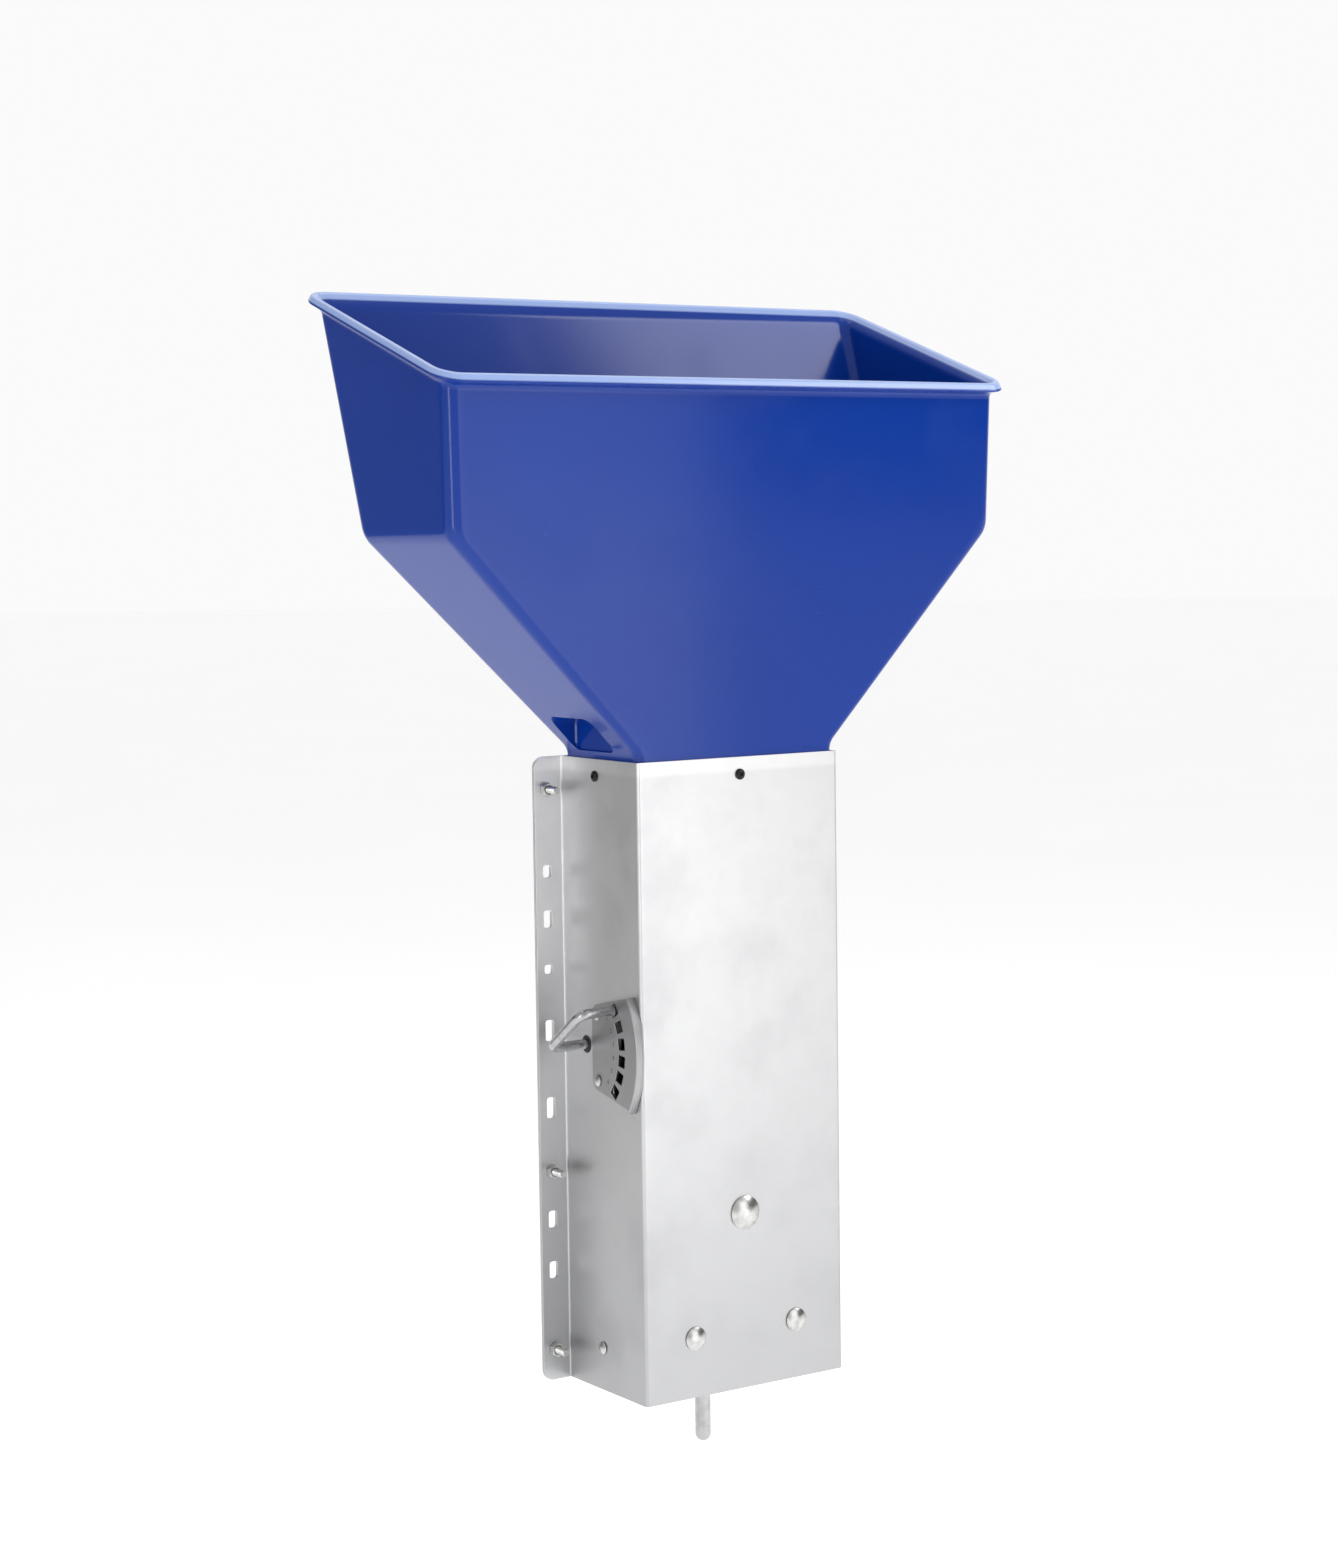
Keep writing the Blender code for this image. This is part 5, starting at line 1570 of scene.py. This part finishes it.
@dataclass
class Hopper(Assembly):
    """The moulded hopper: neck, sloping sides, upright walls, and a flared lip on a sloping rim.

    Attributes:
        wall: Wall thickness.
        neck_rise: Height of the straight neck above the downpipe.
        neck_side_gap: From the downpipe's inner wall to the neck.
        neck_rear_gap: From the feeder's middle plane forward to the neck's rear.
        shoulder_rise: Height of the shoulder above the downpipe.
        shoulder_half: Half the width at the shoulder.
        shoulder_back: How far the shoulder stands behind the back plate.
        rim_half: Half the width under the lip.
        rim_front_rise: Height of the rim's front above the downpipe.
        lean: How far the front leans forward from neck to rim.
        slope: Rise of the rim for each metre to the rear.
        flare: How far the lip flares outward.
        flare_rise: Height over which it flares.
        lip_edge: Height of the lip's outer face.
        lip_lean: How far the lip's outer face leans inward.
        corner: Corner radius.
        neck_corner: Corner radius of the neck.
        pocket_width: Width of a screw pocket.
        pocket_height: Height of a screw pocket.
        pocket_corner: Corner radius of a screw pocket.
        overlap: How far tools reach past a face that they meet.
        drill_radius: Radius of a neck screw's hole.
        drill_reach: How far the tool for it reaches each way.
        softness: Radius at each key point, up the outer skin and down the inner one.
    """

    wall: float = 0.004
    neck_rise: float = 0.006
    neck_side_gap: float = 0.0005
    neck_rear_gap: float = 0.0045
    shoulder_rise: float = 0.174
    shoulder_half: float = 0.255
    shoulder_back: float = 0.0277
    rim_half: float = 0.258
    rim_front_rise: float = 0.2945
    lean: float = 0.0054
    slope: float = 0.345
    flare: float = 0.010
    flare_rise: float = 0.010
    lip_edge: float = 0.0055
    lip_lean: float = 0.0025
    corner: float = 0.012
    neck_corner: float = 0.008
    pocket_width: float = 0.059
    pocket_height: float = 0.027
    pocket_corner: float = 0.008
    overlap: float = 0.0003
    drill_radius: float = 0.0023
    drill_reach: float = 0.01
    softness: tuple[float, ...] = (
        0.0015, 0.006, 0.008, 0.004, 0.0012, 0.0018, 0.0018, 0.004, 0.006, 0.006, 0.0015,
    )

    def neck_half(self) -> float:
        """Half the width of the neck, between the downpipe's side walls."""
        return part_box("front_shell")[1][0] - Downpipe.flange - Downpipe.sheet - self.neck_side_gap

    def rings(self) -> list[Ring]:
        """The key rings, up the outer skin, round the lip and down the inner skin."""
        low, high = corners_of("hopper")
        shell_low, shell_high = corners_of("front_shell")
        top = shell_high.z
        front = shell_low.y + Downpipe.sheet + self.neck_side_gap
        neck = Ring(self.neck_half(), front, -self.neck_rear_gap, self.neck_corner, low.z)
        face = front - self.lean / self.rim_front_rise * self.shoulder_rise
        ledge = top + self.shoulder_rise
        shoulder = Ring(self.shoulder_half, face, self.shoulder_back, self.corner, ledge)

        def rim_top(y: float) -> float:
            """Height of the rim's upper surface."""
            return top + self.rim_front_rise + (y - shell_low.y) * self.slope

        def flare_foot(y: float) -> float:
            """Height at which the wall starts to flare."""
            return rim_top(y) - self.flare_rise

        def edge_foot(y: float) -> float:
            """Height of the lip edge's lower corner."""
            return rim_top(y) - self.lip_edge

        def inner_foot(y: float) -> float:
            """Height at which the inner skin starts to flare."""
            return flare_foot(y) + lowered

        rim = Ring(self.rim_half, front - self.lean, high.y - self.flare, self.corner, flare_foot)
        foot, lowered = top + self.neck_rise, 0.4 * self.wall
        return [
            neck,
            neck.grown(0.0, foot),
            shoulder,
            rim,
            rim.grown(self.flare, edge_foot),
            rim.grown(self.flare - self.lip_lean, rim_top),
            rim.grown(self.flare - self.lip_lean - self.wall, rim_top),
            rim.grown(-self.wall, inner_foot),
            shoulder.grown(-self.wall, ledge + lowered),
            neck.grown(-self.wall, foot + lowered),
            neck.grown(-self.wall, low.z),
        ]

    def column(self, keys: list[Vector], steps: int = 5, beside: float = 0.003) -> list[Vector]:
        """One closed loop through the key points, each softened to its own radius.

        Args:
            keys: The key points, up the outer skin and down the inner one.
            steps: Segments at each key point.
            beside: How far beside a softened corner one more point keeps the wall flat.

        Returns:
            The loop's points.
        """
        path = []
        for index, corner in enumerate(keys):
            before, after = keys[index - 1], keys[(index + 1) % len(keys)]
            back, ahead = before - corner, after - corner
            reach = min(self.softness[index], 0.4 * back.length, 0.4 * ahead.length)
            extra = min(beside, 0.08 * back.length, 0.08 * ahead.length)
            back.normalize()
            ahead.normalize()
            start, end = corner + back * reach, corner + ahead * reach
            path.append(start + back * extra)
            for step in range(steps + 1):
                share = step / steps
                path.append(start.lerp(corner, share).lerp(corner.lerp(end, share), share))
            path.append(end + ahead * extra)
        return path

    def pocket_tools(self) -> list[tuple[str, bpy.types.Mesh]]:
        """Housings and hollows of the screw pockets, and the holes for the neck screws."""
        face = self.neck_half()
        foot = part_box("front_shell")[1][2] + self.neck_rise
        slope = (self.shoulder_half - face) / (self.shoulder_rise - self.neck_rise)
        tools = []
        for side, sign in SIDES.items():
            spot = middle(f"hopper_screw_{side}")
            inner = face - self.wall + self.overlap
            rise = self.pocket_height + self.wall
            wedge = [(inner, foot - self.wall / 2), (inner, foot + rise)]
            wedge += [(face - self.wall / 2 + slope * rise, foot + rise)]
            width = self.pocket_width + 2 * self.wall
            form = Form().plate([(sign * x, z) for x, z in wedge], [], width, 0.0008)
            form.moved(Facing.FRONT.at(0, spot.y, 0))
            tools.append(("UNION", form.done(f"{side}_housing")))
            reach = slope * self.pocket_height
            half = self.pocket_width / 2
            low, high = (-half, foot - self.overlap), (half, foot + self.pocket_height)
            hollow = Form().plate(rounded_box(low, high, self.pocket_corner, 8), [], 2 * reach, 0.0012)
            out = sign * (face + reach - self.overlap)
            hollow.moved(Matrix.Translation((out, spot.y, 0)) @ ON_SIDE)
            tools.append(("DIFFERENCE", hollow.done(f"{side}_hollow")))
            facing = Facing.LEFT if sign < 0 else Facing.RIGHT
            tools.append(("DIFFERENCE", self.drill(f"{side}_hole", facing, spot)))
        tools.append(("DIFFERENCE", self.drill("front_hole", Facing.FRONT, middle("hopper_screw_front"))))
        return tools

    def drill(self, name: str, facing: Facing, spot: Vector) -> bpy.types.Mesh:
        """A round tool for one neck screw.

        Args:
            name: The tool's name.
            facing: Where its axis points.
            spot: Its middle.

        Returns:
            Its mesh.
        """
        radius, reach = self.drill_radius, self.drill_reach
        profile = [(0.0, -reach), (radius, -reach), (radius, reach), (0.0, reach)]
        return Form().turned(profile, facing.at(*spot), 24).done(name)

    def build(self) -> None:
        """Moulds the hopper."""
        rings = [ring.points() for ring in self.rings()]
        columns = [self.column([ring[index] for ring in rings]) for index in range(len(rings[0]))]
        form = Form()
        rows = [[form.mesh.verts.new(point) for point in column] for column in columns]
        for first, second in zip(rows, rows[1:] + rows[:1]):
            form.bridge(first, second)
        blank = form.done("hopper_moulding", 50)
        mesh = smoothed(carve(blank, self.pocket_tools()), 38)
        self.add(mesh, Slot.PLASTIC, "hopper")


# Studio -------------------------------------------------------------------------


@dataclass(frozen=True)
class Softbox:
    """A soft studio light.

    Attributes:
        name: What it is for.
        place: Where it stands.
        width: Its width.
        height: Its height.
        watts: Its power.
        aim: The point that it faces.
    """

    name: str
    place: tuple[float, float, float]
    width: float
    height: float
    watts: float
    aim: tuple[float, float, float] = (0.0, -0.05, 0.1)

    def build(self) -> None:
        """Hangs the light."""
        data = bpy.data.lights.new(self.name, "AREA")
        data.shape = "RECTANGLE"
        data.size, data.size_y, data.energy = self.width, self.height, self.watts
        light = stand(self.name, data)
        light.location = self.place
        aim = Vector(self.aim) - Vector(self.place)
        light.rotation_euler = aim.to_track_quat("-Z", "Y").to_euler()
        light.visible_camera = False
        LOG.info("%s: %.0f W", self.name, self.watts)


@dataclass
class Studio:
    """Floor, surroundings, lights and camera.

    Attributes:
        floor_drop: How far the floor lies below the feeder, which hangs on its pen.
        floor_radius: Radius of the floor.
        bright: Brightness of the backdrop.
        even: Brightness of the rest of the surroundings.
        backdrop: Direction of the backdrop, with the cosines at which its edge starts and ends.
        dim: Brightness of the shaded sides.
        shaded: The same for each shaded side.
        softboxes: The lights.
        card: Left, right, foot above the floor, and top of a grey card that darkens the left side.
        card_depth: How far behind the feeder the card stands.
        card_tone: Its colour.
        eye: Where the camera stands.
        yaw: Degrees that it turns right from +Y.
        pitch: Degrees that it tilts up.
        roll: Degrees that it rolls.
        lens: Focal length in millimetres.
    """

    floor_drop: float = 0.30
    floor_radius: float = 40.0
    bright: float = 0.96
    even: float = 0.55
    backdrop: Region = ((0.55, 0.83, 0.10), 0.55, 0.85)
    dim: float = 0.06
    shaded: tuple[Region, ...] = (((-0.62, 0.78, 0.08), 0.80, 0.97), ((0.87, -0.50, 0.05), 0.78, 0.95))
    softboxes: tuple[Softbox, ...] = (
        Softbox("front_softbox", (0.60, -2.25, 0.3), 1.5, 2.2, 11),
        Softbox("inner_softbox", (1.85, -1.20, 1.75), 1.2, 1.2, 19),
        Softbox("top_softbox", (0.5, 0.6, 3.6), 3.2, 3.2, 42),
        Softbox("left_softbox", (-3.2, -1.9, 0.7), 0.7, 2.4, 17),
    )
    card: tuple[float, float, float, float] = (-4.5, -0.9, 0.02, 0.9)
    card_depth: float = 2.6
    card_tone: Colour = (0.26, 0.26, 0.26, 1)
    eye: tuple[float, float, float] = (-1.3643, -2.0348, 0.4266)
    yaw: float = 34.034
    pitch: float = -4.745
    roll: float = -0.7756
    lens: float = 69.96

    def lay_floor(self) -> None:
        """Lays a plain pale floor."""
        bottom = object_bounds()[0][2] - self.floor_drop
        profile, place = [(0.0, 0.0), (self.floor_radius, 0.0)], Matrix.Translation((0, 0, bottom))
        form = Form().turned(profile, place, 96)
        floor = stand("studio_floor", form.done("studio_floor"))
        floor.data.materials.append(PaleFloor().material())
        floor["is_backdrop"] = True

    def light(self) -> None:
        """Lights the surroundings evenly, apart from two softly shaded sides, and hangs the softboxes."""
        world = bpy.data.worlds.new("studio")
        world.use_nodes = True
        bpy.context.scene.world = world
        graph = Graph(world.node_tree)
        way = graph.node("ShaderNodeTexCoord", {}, {})
        strength: Any = self.even
        regions = [(*self.backdrop, self.bright - self.even)]
        regions += [(*shade, self.dim - self.even) for shade in self.shaded]
        for direction, start, end, change in regions:
            settings = {"operation": "DOT_PRODUCT"}
            facing = graph.node("ShaderNodeVectorMath", settings, {0: way, 1: direction}, output=1)
            strength = strength + change * graph.step(facing, start, end)
        white = (1.0, 1.0, 1.0, 1)
        surroundings = graph.node("ShaderNodeBackground", {}, {"Color": white, "Strength": strength})
        graph.node("ShaderNodeOutputWorld", {}, {"Surface": surroundings})
        for softbox in self.softboxes:
            softbox.build()

    def hang_card(self) -> None:
        """Stands a grey card behind the feeder's left side, out of the camera's sight."""
        left, right, low, high = self.card
        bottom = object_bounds()[0][2] - self.floor_drop
        outline = [(left, low + bottom), (right, low + bottom), (right, high), (left, high)]
        place = Matrix.Translation((0, self.card_depth, 0)) @ Facing.FRONT.at(0, 0, 0)
        card = stand("grey_card", Form().plate(outline, [], 0.01, 0.001).moved(place).done("grey_card"))
        grey = DarkFinish("grey_card", self.card_tone, self.card_tone, 0.0, 0.9)
        card.data.materials.append(grey.material())
        card.visible_camera = False
        card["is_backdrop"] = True

    def set_camera(self) -> None:
        """Sets up the camera."""
        yaw, pitch, roll = (math.radians(turn) for turn in (self.yaw, self.pitch, self.roll))
        level = math.cos(pitch)
        ahead = Vector((math.sin(yaw) * level, math.cos(yaw) * level, math.sin(pitch)))
        right = Vector((math.cos(yaw), -math.sin(yaw), 0))
        up = right.cross(ahead)
        across = math.cos(roll) * right + math.sin(roll) * up
        upright = math.cos(roll) * up - math.sin(roll) * right
        turn = Matrix((across, upright, -ahead)).transposed()
        data = bpy.data.cameras.new("camera")
        data.lens, data.sensor_width, data.sensor_fit = self.lens, 36.0, "AUTO"
        camera = stand("camera", data)
        camera.matrix_world = Matrix.Translation(self.eye) @ turn.to_4x4()
        bpy.context.scene.camera = camera

    def build(self) -> None:
        """Sets up the studio."""
        self.lay_floor()
        self.light()
        self.hang_card()
        self.set_camera()
        bpy.context.scene.view_settings.view_transform = "Standard"


def main() -> None:
    """Builds every sub-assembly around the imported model, then the studio."""
    logging.basicConfig(level=logging.INFO, format="%(message)s")
    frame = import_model()
    Hopper(frame).build()
    downpipe = Downpipe(frame)
    downpipe.make_shell()
    downpipe.make_plate()
    downpipe.make_fixings()
    WallBolts(frame).build()
    IndexPlate(frame).build()
    Lever(frame).build()
    Trigger(frame).build()
    GateWorks(frame).build()
    Studio().build()


if __name__ == "__main__":
    main()
